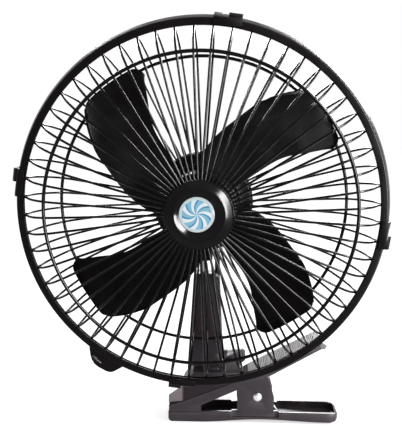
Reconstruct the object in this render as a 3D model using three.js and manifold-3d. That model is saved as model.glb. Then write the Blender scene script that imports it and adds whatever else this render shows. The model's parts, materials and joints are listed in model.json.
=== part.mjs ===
// A clip-on oscillating car fan. Millimetres, +Z up, the fan blows towards -Y.
// The origin is the middle of the closed jaws, where the clamp grips a panel.

import * as THREE from "three";
import { mergeVertices } from "three/addons/utils/BufferGeometryUtils.js";
import Module from "manifold-3d";

const wasm = await Module();
wasm.setup();

// Fits and overruns shared by the whole fan
const seatGap = 0.3;
const runningGap = 0.4;
const overrun = 2;

// Where the head, the neck and the clamp stand
const hub = { x: 15, z: 167 };
const pivot = { x: hub.x, y: 0 };
const tilt = { y: 0, z: 43.5 };
const rivetAxis = { x: 57.4, z: 13.6 };
const swingDegrees = 30;

// Hoop that clamps the two guards together, wider at its rear edge. Depth runs to the rear from its
// middle.
const rim = { frontRadius: 122.6, flare: 3.6, wall: 1.7, width: 9.2, lipReach: 4.3, lip: 1, chamfer: 0.8 };
const rimRearRadius = rim.frontRadius + rim.flare;
const rimRadius = (depth) => rim.frontRadius + (rim.flare * (depth + rim.width / 2)) / rim.width;

// Impeller: the blades share one pitch surface, swept towards the leading edge at the tip
const impeller = {
  blades: 4,
  tipInset: 17.4,
  hubRadius: 25.5,
  hubFrontDepth: -9,
  hubLength: 24,
  hubWall: 2.4,
  hubEdge: 4,
  bladeThickness: 1.7,
  rootTrailInset: 4,
  rootLeadInset: 2,
  tipTrailBehind: 17.5,
  tipLeadBehind: 32.5,
  camber: 2.4,
  cornerRadius: 7.5,
  radialSteps: 5,
  sleeveRadius: 5.5,
};
impeller.tipRadius = rim.frontRadius - impeller.tipInset;
impeller.hubRearDepth = impeller.hubFrontDepth + impeller.hubLength;
const bladeRadiusShares = [0, 0.42, 0.73, 1];
const trailDegrees = [97, 71.5, 60, 50.5];
const leadDegrees = [31, 32, 27, 24];
const chordShares = [0, 0.05, 0.16, 0.4, 0.65, 0.84, 0.95, 1];
const spinner = {
  radius: 7.5,
  flange: 1.7,
  nutRadius: 5.8,
  height: 5.5,
  domeRadius: 3.6,
  dome: 1.2,
  bore: 3.4,
};

// Motor and its housing, one behind the other from the back of the impeller
const motor = {
  shaftRadius: 2,
  canRadius: 17.5,
  canInset: 6.4,
  canLength: 35.6,
  canEdge: 1.2,
  bearingRadius: 6,
  bearingLength: 4,
};
const housing = {
  impellerGap: 6,
  snoutRadius: 24,
  snoutLength: 18.3,
  flangeRadius: 37,
  flangeEdge: 3,
  frontLength: 20.9,
  bandLength: 3.8,
  taperAhead: 6.5,
  rearInset: 10,
  rearBehind: 14,
  rearEdge: 2.5,
  wall: 2.2,
};
housing.rearRadius = housing.flangeRadius - housing.rearInset;
housing.snoutFrontDepth = impeller.hubRearDepth + housing.impellerGap;
housing.flangeDepth = housing.snoutFrontDepth + housing.snoutLength;
housing.splitDepth = housing.flangeDepth + housing.frontLength;
housing.bandDepth = housing.splitDepth + housing.bandLength;
motor.canFrontDepth = housing.snoutFrontDepth + motor.canInset;
motor.canRearDepth = motor.canFrontDepth + motor.canLength;
const socket = { radius: 7, behindFlange: 12.7, below: 9.2, topInset: 9, boreInset: 6.8 };
socket.depth = housing.flangeDepth + socket.behindFlange;
socket.foot = housing.flangeRadius + socket.below;
socket.top = housing.flangeRadius - socket.topInset;
socket.boreEnd = housing.flangeRadius - socket.boreInset;
hub.y = pivot.y - socket.depth;

// Wire guards. An inset is how far a radius lies inside the rim's edge on its own side.
const guard = { wires: 60, firstWireDegrees: 8.07, wireWidth: 1.7, wireHeight: 1.7, ringWidth: 2.1 };
const frontWire = {
  hubRadius: 15.5,
  hubAhead: 11.8,
  ringInset: 22.3,
  ringDepth: -17.5,
  shoulderInset: 11.8,
  shoulderDepth: -13,
  lipInset: 5.4,
  lipDepth: -3.2,
};
frontWire.hubDepth = impeller.hubFrontDepth - frontWire.hubAhead;
const rearWire = {
  hubRadius: 29.5,
  ringInset: 23.7,
  ringAhead: 5.7,
  shoulderInset: 13.8,
  shoulderAhead: 14.7,
  cornerInset: 7.9,
  cornerAhead: 26.3,
};

// What sits on the rim
const latch = {
  degrees: { latch_top: 81.9, latch_left: 171.5, latch_bottom: 264, latch_right: 352.6 },
  length: 18.4,
  thickness: 1.2,
  hookDepth: 3.6,
  hookThickness: 1.4,
  tabLength: 8.8,
  tabWidth: 5.4,
  tabHeight: 2.9,
  lugLength: 7,
  lugReach: 3.2,
  pinRadius: 0.9,
  pinStand: 0.1,
  pinBehind: 1.8,
  knuckleRadius: 1.8,
};
const loop = {
  degrees: 237.4,
  footLength: 24.4,
  topLength: 15,
  height: 6.9,
  outerWall: 1.6,
  slotLength: 13,
  slotHeight: 3,
  width: 2.8,
  corner: 2.6,
};

// Cap in the middle of the front guard
const cap = {
  radius: 22.4,
  depth: 5.2,
  shoulderDepth: 2.4,
  crestRadius: 18.6,
  crestWidth: 4.4,
  crestDrop: 0.7,
  bowlRadius: 13.2,
  bowlDepth: 2,
  bossRadius: 5,
  bossLength: 2,
  screwRadius: 1.5,
  clampRadius: 20.5,
  clampThickness: 2.6,
  screwHeadRadius: 3.2,
  screwHeadHeight: 1.4,
};
const badge = { radius: 11.3, thickness: 1, shiftX: -1.3, shiftZ: 0.4 };

// Nut that holds the rear guard on the housing
const guardNut = {
  inset: 0.7,
  thickness: 2.4,
  wireGap: 0.6,
  collarRadius: 29,
  collarLength: 6.6,
  ribs: 8,
  ribWidth: 2,
  ribHeight: 3,
};
guardNut.radius = housing.flangeRadius - guardNut.inset;

// Vents in the housing
const sideVent = {
  slots: 8,
  width: 2.4,
  firstDegrees: 35,
  lastDegrees: 145,
  frontInset: 5.7,
  rearInset: 4.2,
};
const backVent = { slots: 3, pitch: 3.8, width: 1.8, firstX: 12, halfHeight: 7 };

// Oscillation gear: worm, wheel, spindle, crank and link
const worm = {
  rootRadius: 3.3,
  threadHeight: 1,
  threadPitch: 2.5,
  length: 6,
  stepsRound: 10,
  stepsPerTurn: 8,
};
const wheel = { teeth: 18, behindCan: 16, toothHeight: 1.3, meshDepth: 0.7, thickness: 4 };
wheel.depth = motor.canRearDepth + wheel.behindCan;
housing.taperDepth = wheel.depth - housing.taperAhead;
housing.rearDepth = wheel.depth + housing.rearBehind;
const toothTipShare = 0.24;
const toothFootShare = 0.44;
const spindle = { radius: 1.8, top: 8.4 };
const crank = { hubRadius: 4, thickness: 2.8, below: 2.5, armWidth: 5, pinRadius: 1.3 };
crank.top = -housing.rearRadius - crank.below;
const anchor = { x: 10.6, y: 2.3, radius: 1.1, shoulderRadius: 2, rooted: 8 };
const link = { below: 5.7, thickness: 2.4, halfWidth: 2.2, openPivotGap: 0.5 };
link.top = crank.top - crank.thickness - link.below;
const knob = {
  radius: 6,
  gripHeight: 6.4,
  stemRadius: 3,
  stemBottom: 9,
  lift: 5,
  flutes: 10,
  fluteRadius: 0.9,
};

// Neck: two shells round the pivot shaft, with a fork at the foot
const neck = {
  height: 67.6,
  topLeft: 7.4,
  topRight: 12.7,
  footLeft: 9.1,
  footRight: 15,
  kneeHeight: 7.5,
  halfDepth: 9,
  footRadius: 9,
  leftShoulder: 3.6,
  rightShoulder: 6,
  corner: 1.2,
  edge: 2.6,
  wall: 2.2,
};
const fork = { right: 7.5, knuckleWidth: 9.6, knuckleRadius: 9.6, roofGap: 0.6 };
fork.knuckleX = pivot.x + fork.right;
const shaft = { radius: 2, insertion: 22.4, bossRadius: 4.6 };
const wing = {
  shankRadius: 2.5,
  bossRadius: 4.2,
  bossLength: 3.6,
  thickness: 3,
  length: 14,
  rootHalf: 3.4,
  tipHalf: 5.4,
  corner: 2,
};
const tiltNut = { radius: 4.4, height: 3.4, inset: 1 };
const neckScrew = {
  radius: 1.4,
  headRadius: 2.8,
  headHeight: 1.8,
  bossRadius: 3.8,
  reach: 5,
  upperInset: 25.2,
  lowerHeight: 22,
};

// Clamp: the jaws meet at height 0
const jaw = {
  halfWidth: 11,
  gap: 0.2,
  tipX: -11.8,
  heelX: 13.2,
  padThickness: 1.2,
  padInset: 0.8,
  ribs: 5,
  ribDepth: 0.4,
  crestFromShare: 0.25,
  crestToShare: 0.75,
};
const roof = {
  tipZ: 5.2,
  noseX: -0.2,
  noseZ: 8.9,
  shoulderX: 40.3,
  shoulderZ: 25.5,
  rootX: 50.1,
  rootZ: 31.7,
};
const handle = {
  endX: 102.4,
  endZ: 59.6,
  noseReach: 5.8,
  noseDrop: 0.7,
  lipReach: 7,
  lipDrop: 3.2,
  underX: 65.5,
  underZ: 30.3,
  underEndReach: 2.8,
  underEndDrop: 6.2,
};
handle.noseX = handle.endX + handle.noseReach;
handle.noseZ = handle.endZ - handle.noseDrop;
handle.lipX = handle.endX + handle.lipReach;
handle.lipZ = handle.endZ - handle.lipDrop;
handle.underEndX = handle.endX + handle.underEndReach;
handle.underEndZ = handle.endZ - handle.underEndDrop;
const grip = { length: 15.4, height: 0.8, ribs: 6, ribHeight: 0.6, ribWidth: 1.3 };
const wall = { upper: 2, lower: 2, roof: 2.2, floor: 2.2 };
const ear = { left: 15.7, right: 12.9, drop: 14.3, corner: 5, heelAbove: 5.5 };
const tipBar = { radius: 2.3 };
const lower = {
  tipX: -12.3,
  tipCorner: 2.8,
  footEndX: 9.5,
  underside: -8,
  archX: 62,
  archZ: -5,
  gripInset: 3.6,
  gripZ: -6.7,
  endX: 120.6,
  endFlat: 2.2,
  topZ: 1.1,
  riseX: 28,
  inset: 2.4,
  insetFromX: 37.5,
  insetToX: 74,
  ribs: 3,
  ribsInset: 38.6,
  ribPitch: 12,
  ribThickness: 1.4,
};
lower.gripX = lower.endX - lower.gripInset;
const innerEar = { radius: 5.4, footHalf: 10 };
const block = {
  leftX: -0.9,
  rightX: 44,
  leftZ: 22.8,
  deckX: 7.5,
  deckZ: 33.5,
  noseX: -12.2,
  noseZ: 14.2,
  noseHalf: 7,
  wall: 2.4,
  pedestalHalf: 7,
};
const blockScrew = {
  radius: 1.4,
  headRadius: 2.8,
  headHeight: 1.8,
  length: 9,
  bossRadius: 3.4,
  places: [15, 34],
};
const rivet = { radius: 2.5, headRadius: 3.5, headHeight: 1.6, dome: 0.6 };
const spring = {
  wireRadius: 0.8,
  coilRadius: 5,
  pitch: 2.1,
  turns: 4,
  lowerLegX: 74,
  upperLegX: 72,
  sides: 5,
  stepsPerTurn: 8,
};

// Switch, cord inlet and screws on the rear half of the housing
const rocker = {
  width: 9,
  height: 11,
  above: 16.5,
  crown: 1.6,
  hingeInset: 1.5,
  gap: 0.4,
  footShare: 0.7,
  crestShare: 0.86,
};
const bezel = { rim: 1.6, thickness: 1.8 };
const grommet = { radius: 3.4, flangeRadius: 4.8, flange: 1.6, bore: 1.9, below: 17 };
const housingScrew = {
  radius: 1.4,
  headRadius: 2.9,
  headHeight: 1.8,
  bossRadius: 3.8,
  ringInset: 6.2,
  reach: 10,
};
housingScrew.seatDepth = housing.bandDepth;
housingScrew.ringRadius = housing.flangeRadius - housingScrew.ringInset;

const segments = { rim: 60, large: 30, housing: 24, medium: 16, small: 10, screw: 8 };
const black = { color: 0x17151a, roughness: 0.42, metalness: 0 };
const softBlack = { color: 0x2a272d, roughness: 0.55, metalness: 0 };
const wireBlack = { color: 0x0d0c10, roughness: 0.28, metalness: 0.1 };
const rubberBlack = { color: 0x131214, roughness: 0.85, metalness: 0 };
const steel = { color: 0xb9bbc0, roughness: 0.28, metalness: 1 };
const brass = { color: 0xb08a3e, roughness: 0.35, metalness: 1 };
const nylon = { color: 0xd9d7cf, roughness: 0.6, metalness: 0 };
const badgeBlue = { color: 0x8cc4ea, roughness: 0.3, metalness: 0 };

const radians = THREE.MathUtils.degToRad;
const sum = (list) => list.reduce((a, b) => a + b, 0);

// Solids
function solidOf(geometry) {
  const bare = new THREE.BufferGeometry().setAttribute("position", geometry.getAttribute("position"));
  if (geometry.index) bare.setIndex(geometry.index);
  const merged = mergeVertices(bare, 1e-4);
  return new wasm.Manifold(
    new wasm.Mesh({
      numProp: 3,
      vertProperties: merged.attributes.position.array,
      triVerts: new Uint32Array(merged.index.array),
    }),
  );
}

function geometryOf(solid) {
  const mesh = solid.getMesh();
  const places = new Float32Array(mesh.numVert * 3);
  for (let i = 0; i < mesh.numVert; i++) {
    places.set(mesh.vertProperties.subarray(i * mesh.numProp, i * mesh.numProp + 3), i * 3);
  }
  const geometry = new THREE.BufferGeometry();
  geometry.setAttribute("position", new THREE.BufferAttribute(places, 3));
  geometry.setIndex(new THREE.BufferAttribute(mesh.triVerts, 1));
  return geometry;
}

function join(...geometries) {
  return geometryOf(geometries.map(solidOf).reduce((a, b) => a.add(b)));
}

function cut(body, ...tools) {
  return geometryOf(tools.map(solidOf).reduce((a, b) => a.subtract(b), solidOf(body)));
}

function common(a, b) {
  return geometryOf(solidOf(a).intersect(solidOf(b)));
}

// A closed outline of [radius, height] pairs turned about the Y axis
function turned(outline, steps) {
  const area = sum(
    outline.map(([r, y], i) => {
      const [s, z] = outline[(i + 1) % outline.length];
      return r * z - s * y;
    }),
  );
  const points = outline.map(([r, y]) => new THREE.Vector2(r, y));
  if (area < 0) points.reverse();
  points.push(points[0].clone());
  return new THREE.LatheGeometry(points, steps);
}

const towards = (x, y, z) => new THREE.Vector3(x, y, z);
const alongX = new THREE.Matrix4().makeBasis(
  towards(0, 1, 0),
  towards(0, 0, 1),
  towards(1, 0, 0),
);
const alongY = new THREE.Matrix4().makeBasis(
  towards(0, 0, 1),
  towards(1, 0, 0),
  towards(0, 1, 0),
);

function shapeOf(points, holes = []) {
  const path = (list) => {
    const turn = list.map(([x, y]) => new THREE.Vector2(x, y));
    return THREE.ShapeUtils.isClockWise(turn) ? turn.reverse() : turn;
  };
  const shape = new THREE.Shape(path(points));
  holes.forEach((hole) => shape.holes.push(new THREE.Path(path(hole))));
  return shape;
}

function slab(shape, depth, curveSegments = 8) {
  return new THREE.ExtrudeGeometry(shape, { depth, bevelEnabled: false, curveSegments });
}

// Prisms: an outline of [y, z], [z, x] or [x, y] pairs carried from one height to another
function prismX(points, from, to, holes) {
  return slab(shapeOf(points, holes), to - from).applyMatrix4(alongX).translate(from, 0, 0);
}

function prismY(points, from, to, holes) {
  const swap = (list) => list.map(([x, z]) => [z, x]);
  return slab(shapeOf(swap(points), (holes ?? []).map(swap)), to - from)
    .applyMatrix4(alongY)
    .translate(0, from, 0);
}

function prismZ(points, from, to, holes) {
  return slab(shapeOf(points, holes), to - from).translate(0, 0, from);
}

function box(x0, x1, y0, y1, z0, z1) {
  return new THREE.BoxGeometry(x1 - x0, y1 - y0, z1 - z0).translate(
    (x0 + x1) / 2,
    (y0 + y1) / 2,
    (z0 + z1) / 2,
  );
}

function rodY(radius, from, to, steps = segments.small) {
  return new THREE.CylinderGeometry(radius, radius, to - from, steps).translate(0, (from + to) / 2, 0);
}

function rodX(radius, from, to, steps = segments.small) {
  return rodY(radius, from, to, steps).rotateZ(-Math.PI / 2);
}

function rodZ(radius, from, to, steps = segments.small) {
  return rodY(radius, from, to, steps).rotateX(Math.PI / 2);
}

// Points of an arc, for rounding an outline
function arc(x, y, radius, fromDegrees, toDegrees, steps) {
  return Array.from({ length: steps + 1 }, (_, i) => {
    const a = radians(fromDegrees + ((toDegrees - fromDegrees) * i) / steps);
    return [x + radius * Math.cos(a), y + radius * Math.sin(a)];
  });
}

function onCircle(radius, degrees) {
  return [radius * Math.cos(radians(degrees)), radius * Math.sin(radians(degrees))];
}

function mesh(name, geometry, look) {
  const made = new THREE.Mesh(geometry, new THREE.MeshStandardMaterial(look));
  made.name = name;
  return made;
}

// Welded guard: three-sided wires in planes through the axis, joined by rings in their own layer.
// A station is [radius, depth, ring]; where ring is true, a ring fills the stretch to the next one.
function wireGuard(stations) {
  const half = guard.wireWidth / 2;
  const rise = guard.wireHeight / 2;
  const corners = stations.map(([r, y], k) => {
    const [r0, y0] = stations[Math.max(k - 1, 0)];
    const [r1, y1] = stations[Math.min(k + 1, stations.length - 1)];
    const length = Math.hypot(r1 - r0, y1 - y0);
    const across = [((y1 - y0) / length) * rise, ((r0 - r1) / length) * rise];
    return [
      [r + across[0], y + across[1], half],
      [r + across[0], y + across[1], -half],
      [r - across[0], y - across[1], 0],
    ];
  });
  const places = [];
  const faces = [];
  const sides = 3;
  const perWire = stations.length * sides;
  const quad = (a, b, c, d) => faces.push(a, c, b, a, d, c);
  for (let wire = 0; wire < guard.wires; wire++) {
    const angle = radians(guard.firstWireDegrees + (360 * wire) / guard.wires);
    const out = [Math.cos(angle), Math.sin(angle)];
    corners.flat().forEach(([r, y, side]) => {
      places.push(r * out[0] - side * out[1], y, r * out[1] + side * out[0]);
    });
  }
  for (let wire = 0; wire < guard.wires; wire++) {
    const here = wire * perWire;
    const next = ((wire + 1) % guard.wires) * perWire;
    for (let k = 0; k + 1 < stations.length; k++) {
      const a = here + k * sides;
      const b = a + sides;
      quad(a, b, b + 1, a + 1);
      if (!stations[k][2]) {
        quad(a + 1, b + 1, b + 2, a + 2);
        quad(a + 2, b + 2, b, a);
        continue;
      }
      const c = next + k * sides;
      const d = c + sides;
      quad(a, c + 1, d + 1, b);
      quad(b, d + 1, d + 2, b + 2);
      quad(b + 2, d + 2, c + 2, a + 2);
      quad(a + 2, c + 2, c + 1, a);
    }
    const last = here + perWire - sides;
    faces.push(here, here + 2, here + 1, last, last + 1, last + 2);
  }
  const geometry = new THREE.BufferGeometry();
  geometry.setAttribute("position", new THREE.BufferAttribute(new Float32Array(places), 3));
  geometry.setIndex(faces);
  return geometry;
}

// A ring's two stations, the ring lying along the way to the next station
function ringStations(radius, depth, nextRadius, nextDepth) {
  const length = Math.hypot(nextRadius - radius, nextDepth - depth);
  const step = guard.ringWidth / length;
  return [
    [radius, depth, true],
    [radius + (nextRadius - radius) * step, depth + (nextDepth - depth) * step],
  ];
}

function frontGuard() {
  const w = frontWire;
  const ringRadius = rim.frontRadius - w.ringInset;
  const shoulderRadius = rim.frontRadius - w.shoulderInset;
  const edgeRadius = rimRadius(-guard.wireHeight) - rim.wall - seatGap;
  const edgeDepth = -guard.wireHeight / 2;
  return wireGuard([
    ...ringStations(w.hubRadius, w.hubDepth, ringRadius, w.ringDepth),
    ...ringStations(ringRadius, w.ringDepth, shoulderRadius, w.shoulderDepth),
    [shoulderRadius, w.shoulderDepth],
    [rim.frontRadius - w.lipInset, w.lipDepth],
    [edgeRadius - guard.ringWidth, edgeDepth, true],
    [edgeRadius, edgeDepth],
  ]);
}

// The basket's front ring seats on the ring of the front guard
function rearGuard() {
  const w = rearWire;
  const ringRadius = rimRearRadius - w.ringInset;
  const ringDepth = housing.flangeDepth - w.ringAhead;
  const shoulderRadius = rimRearRadius - w.shoulderInset;
  const shoulderDepth = housing.flangeDepth - w.shoulderAhead;
  const edgeRadius = rimRadius(seatGap) - rim.wall - seatGap - guard.wireHeight / 2;
  const edgeDepth = seatGap;
  const hubDepth = housing.flangeDepth - seatGap - guard.wireHeight / 2;
  return wireGuard([
    ...ringStations(w.hubRadius, hubDepth, ringRadius, ringDepth),
    ...ringStations(ringRadius, ringDepth, shoulderRadius, shoulderDepth),
    [shoulderRadius, shoulderDepth],
    [rimRearRadius - w.cornerInset, housing.flangeDepth - w.cornerAhead],
    [edgeRadius, edgeDepth + guard.ringWidth, true],
    [edgeRadius, edgeDepth],
  ]);
}

// Rim: built at the right of the hub with x outwards, then turned to its place
function aroundHub(geometry, degrees) {
  return geometry.rotateY(-radians(degrees));
}

const latchPin = {
  radius: rimRearRadius + latch.pinStand,
  depth: rim.width / 2 + latch.pinBehind,
};
latchPin.lugFront = latchPin.depth - latch.lugReach - latch.knuckleRadius;

function latchLug(degrees) {
  const front = latchPin.lugFront;
  const back = rim.width / 2 - rim.chamfer;
  const half = latch.lugLength / 2;
  const outline = [
    [rimRadius(front) - rim.wall / 2, front],
    ...arc(latchPin.radius, latchPin.depth, latch.knuckleRadius, 0, 180, 4),
    [rimRadius(back) - rim.wall / 2, back],
  ];
  const hole = arc(latchPin.radius, latchPin.depth, latch.pinRadius + seatGap, 0, 300, 5);
  return aroundHub(prismZ(outline, -half, half, [hole]), degrees);
}

function rimBand() {
  const half = rim.width / 2;
  const lipRadius = rim.frontRadius - rim.lipReach;
  const hoop = turned(
    [
      [lipRadius, -half],
      [rim.frontRadius - rim.chamfer, -half],
      [rimRadius(rim.chamfer - half), rim.chamfer - half],
      [rimRadius(half - rim.chamfer), half - rim.chamfer],
      [rimRearRadius - rim.chamfer, half],
      [rimRearRadius - rim.wall, half],
      [rimRadius(rim.lip - half) - rim.wall, rim.lip - half],
      [lipRadius, rim.lip - half],
    ],
    segments.rim,
  );
  return join(hoop, ...Object.values(latch.degrees).map(latchLug));
}

// Snap latch: plate over the hoop, hook round its front edge, finger tab, pin through the hoop's lug
function rimLatch(degrees) {
  const front = -rim.width / 2 - seatGap;
  const seatAt = (depth) => rimRadius(depth) + seatGap;
  const seat = seatAt(front);
  const top = seat + latch.thickness;
  const half = latch.length / 2;
  const plateEnd = latchPin.depth - latch.knuckleRadius / 2;
  const clip = prismZ(
    [
      [latchPin.radius + latch.knuckleRadius, latchPin.depth],
      [seatAt(plateEnd) + latch.thickness, plateEnd],
      [top, front - latch.hookThickness / 2],
      [top - latch.hookThickness / 2, front - latch.hookThickness],
      [seat - latch.hookDepth, front - latch.hookThickness],
      [seat - latch.hookDepth, front],
      [seat, front],
      [seatAt(plateEnd), plateEnd],
      [latchPin.radius, latchPin.depth],
    ],
    -half,
    half,
  );
  const tabBack = front + latch.tabWidth;
  const tab = prismZ(
    [
      [top - latch.thickness / 2, front],
      [top + latch.tabHeight / 2, front],
      [top + latch.tabHeight, front + latch.tabHeight / 2],
      [seatAt(tabBack) + latch.thickness + latch.tabHeight / 2, tabBack - latch.tabHeight],
      [seatAt(tabBack) + latch.thickness / 2, tabBack],
    ],
    -half,
    -half + latch.tabLength,
  );
  const place = (rod) => rod.translate(latchPin.radius, latchPin.depth, 0);
  const knuckle = place(rodZ(latch.knuckleRadius, -half, half, 8));
  const notchHalf = latch.lugLength / 2 + runningGap;
  const notchFront = latchPin.lugFront - runningGap;
  const outside = latchPin.radius + latch.knuckleRadius + overrun;
  const notch = box(seat, outside, notchFront, latchPin.depth + outside - seat, -notchHalf, notchHalf);
  const pin = place(rodZ(latch.pinRadius, -notchHalf - seatGap, notchHalf + seatGap, 6));
  return aroundHub(join(cut(join(clip, tab, knuckle), notch), pin), degrees);
}

function rimLoop() {
  const halfWidth = loop.width / 2;
  const seat = rimRadius(halfWidth) + seatGap;
  const foot = loop.footLength / 2;
  const shoulder = loop.topLength / 2;
  const top = seat + loop.height;
  const slotTop = top - loop.outerWall;
  const slotHalf = loop.slotLength / 2;
  const slotFoot = slotTop - loop.slotHeight;
  const { corner } = loop;
  const rounded = arc(top - corner, shoulder - corner, corner, 0, 60, 2);
  const mirrored = rounded.map(([r, t]) => [r, -t]).reverse();
  const plate = prismY(
    [[seat, -foot], ...mirrored, ...rounded, [seat, foot]],
    -halfWidth,
    halfWidth,
    [
      [
        [slotFoot, -slotHalf],
        [slotFoot, slotHalf],
        [slotTop, slotHalf],
        [slotTop, -slotHalf],
      ],
    ],
  );
  return aroundHub(plate, loop.degrees);
}

// Cap, badge and the disc that clamps the front guard's inner ring against the cap
const capBack = frontWire.hubDepth - guard.wireHeight / 2 - seatGap;
const clampFront = frontWire.hubDepth + guard.wireHeight / 2 + seatGap;
const bossEnd = capBack + cap.bossLength;

function frontCap() {
  const crestHalf = cap.crestWidth / 2;
  const floor = capBack - cap.bowlDepth;
  const bowl = turned(
    [
      [0, floor],
      [cap.bowlRadius, floor],
      [cap.crestRadius - crestHalf, capBack - cap.depth + cap.crestDrop],
      [cap.crestRadius, capBack - cap.depth],
      [cap.crestRadius + crestHalf, capBack - cap.depth + cap.crestDrop],
      [cap.radius, capBack - cap.shoulderDepth],
      [cap.radius, capBack],
      [0, capBack],
    ],
    segments.large,
  );
  const boss = rodY(cap.bossRadius, capBack - cap.bowlDepth / 2, bossEnd);
  const bore = rodY(cap.screwRadius + seatGap, capBack - cap.bowlDepth / 2, bossEnd + overrun);
  return cut(join(bowl, boss), bore);
}

function capClamp() {
  const back = clampFront + cap.clampThickness;
  const sink = back - cap.screwHeadHeight + seatGap;
  return turned(
    [
      [cap.screwRadius + seatGap, clampFront],
      [cap.clampRadius, clampFront],
      [cap.clampRadius, back - cap.clampThickness / 3],
      [cap.clampRadius - cap.clampThickness / 3, back],
      [cap.screwHeadRadius + seatGap, back],
      [cap.screwHeadRadius + seatGap, sink - seatGap],
      [cap.screwRadius + seatGap, sink - seatGap],
    ],
    segments.medium,
  );
}

// A round-headed screw along +Y: the head stands behind depth 0, the shank runs forward of it
function screw(size, length) {
  return turned(
    [
      [0, -length],
      [size.radius, -length],
      [size.radius, 0],
      [size.headRadius, 0],
      [size.headRadius - size.headHeight / 2, size.headHeight],
      [0, size.headHeight],
    ],
    segments.screw,
  );
}

function capScrew() {
  const seat = clampFront + cap.clampThickness - cap.screwHeadHeight + seatGap;
  const length = seat - (capBack - cap.bowlDepth / 2) - seatGap;
  return screw(
    { radius: cap.screwRadius, headRadius: cap.screwHeadRadius, headHeight: cap.screwHeadHeight },
    length,
  ).translate(0, seat, 0);
}

function badgeDisc() {
  const back = capBack - cap.bowlDepth - seatGap;
  const disc = rodY(badge.radius, back - badge.thickness, back, segments.large);
  return disc.translate(badge.shiftX, 0, badge.shiftZ);
}

// Impeller
function bladeEdge(degreesAt, share) {
  const reach = impeller.tipRadius - impeller.hubRadius;
  const edge = new THREE.SplineCurve(
    bladeRadiusShares.map((r, i) => new THREE.Vector2(impeller.hubRadius + r * reach, degreesAt[i])),
  );
  return edge.getPoint(share);
}

// A point of the pitch surface at a radial share and a share of the chord, trailing to leading
function bladePoint(radial, chord, side) {
  const trail = bladeEdge(trailDegrees, radial);
  const lead = bladeEdge(leadDegrees, radial);
  const { lerp } = THREE.MathUtils;
  const angle = radians(lerp(trail.y, lead.y, chord));
  const chordLength = trail.x * radians(trail.y - lead.y);
  const fromCorner = Math.min(chord, 1 - chord) * chordLength;
  const bite = Math.max(0, 1 - fromCorner / impeller.cornerRadius);
  const drawn = radial ** 4 * impeller.cornerRadius * (1 - Math.sqrt(1 - bite * bite));
  const rootInset = radial === 0 ? impeller.hubWall / 2 : 0;
  const radius = trail.x - drawn - rootInset;
  const front = impeller.hubFrontDepth;
  const rear = impeller.hubRearDepth;
  const depthTrail = lerp(front + impeller.rootTrailInset, front + impeller.tipTrailBehind, radial);
  const depthLead = lerp(rear - impeller.rootLeadInset, front + impeller.tipLeadBehind, radial);
  const bulge = impeller.camber * 4 * chord * (1 - chord);
  const depth = lerp(depthTrail, depthLead, chord) + bulge + (side * impeller.bladeThickness) / 2;
  return [radius * Math.cos(angle), depth, radius * Math.sin(angle)];
}

function blade() {
  const rows = impeller.radialSteps + 1;
  const columns = chordShares.length;
  const places = [];
  const faces = [];
  [-1, 1].forEach((side) => {
    for (let i = 0; i < rows; i++) {
      chordShares.forEach((c) => places.push(...bladePoint(i / impeller.radialSteps, c, side)));
    }
  });
  const rear = rows * columns;
  const quad = (a, b, c, d) => faces.push(a, b, c, a, c, d);
  for (let i = 0; i + 1 < rows; i++) {
    for (let j = 0; j + 1 < columns; j++) {
      const a = i * columns + j;
      const b = a + columns;
      quad(a, a + 1, b + 1, b);
      quad(rear + b, rear + b + 1, rear + a + 1, rear + a);
    }
    const first = i * columns;
    const last = first + columns - 1;
    quad(first, first + columns, rear + first + columns, rear + first);
    quad(rear + last, rear + last + columns, last + columns, last);
  }
  for (let j = 0; j + 1 < columns; j++) {
    const tip = (rows - 1) * columns + j;
    quad(rear + j, rear + j + 1, j + 1, j);
    quad(tip, tip + 1, rear + tip + 1, rear + tip);
  }
  const geometry = new THREE.BufferGeometry();
  geometry.setAttribute("position", new THREE.BufferAttribute(new Float32Array(places), 3));
  geometry.setIndex(faces);
  return geometry;
}

function impellerBody() {
  const m = impeller;
  const bore = motor.shaftRadius + seatGap;
  const inner = m.hubRadius - m.hubWall;
  const hubShell = turned(
    [
      [bore, m.hubFrontDepth],
      ...arc(m.hubRadius - m.hubEdge, m.hubFrontDepth + m.hubEdge, m.hubEdge, -90, 0, 2),
      [m.hubRadius, m.hubRearDepth],
      [inner, m.hubRearDepth],
      [inner, m.hubFrontDepth + m.hubEdge],
      [m.hubRadius - m.hubEdge, m.hubFrontDepth + m.hubWall],
      [m.sleeveRadius, m.hubFrontDepth + m.hubWall],
      [m.sleeveRadius, m.hubRearDepth - m.hubWall],
      [bore, m.hubRearDepth - m.hubWall],
    ],
    segments.large,
  );
  const blades = Array.from({ length: m.blades }, (_, i) => blade().rotateY((2 * Math.PI * i) / m.blades));
  return join(hubShell, ...blades);
}

function hubNut() {
  const s = spinner;
  const back = impeller.hubFrontDepth - seatGap;
  const front = back - s.height;
  const body = turned(
    [
      [0, front],
      [s.domeRadius, front],
      [s.nutRadius * Math.cos(Math.PI / 6), front + s.dome],
      [s.nutRadius * Math.cos(Math.PI / 6), back - s.flange],
      [s.radius, back - s.flange],
      [s.radius, back],
      [0, back],
    ],
    segments.medium,
  );
  const hexagon = arc(0, 0, s.nutRadius, 0, 300, 5);
  const nut = prismY(hexagon, front + s.dome, back - s.flange / 2);
  const bore = rodY(motor.shaftRadius + seatGap, back - s.bore, back + overrun);
  return cut(join(body, nut), bore);
}

// Motor
function motorCan() {
  const m = motor;
  return turned(
    [
      [m.shaftRadius + seatGap, m.canFrontDepth],
      [m.canRadius - m.canEdge, m.canFrontDepth],
      [m.canRadius, m.canFrontDepth + m.canEdge],
      [m.canRadius, m.canRearDepth - m.canEdge],
      [m.canRadius - m.canEdge, m.canRearDepth],
      [m.shaftRadius + seatGap, m.canRearDepth],
    ],
    segments.medium,
  );
}

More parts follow.
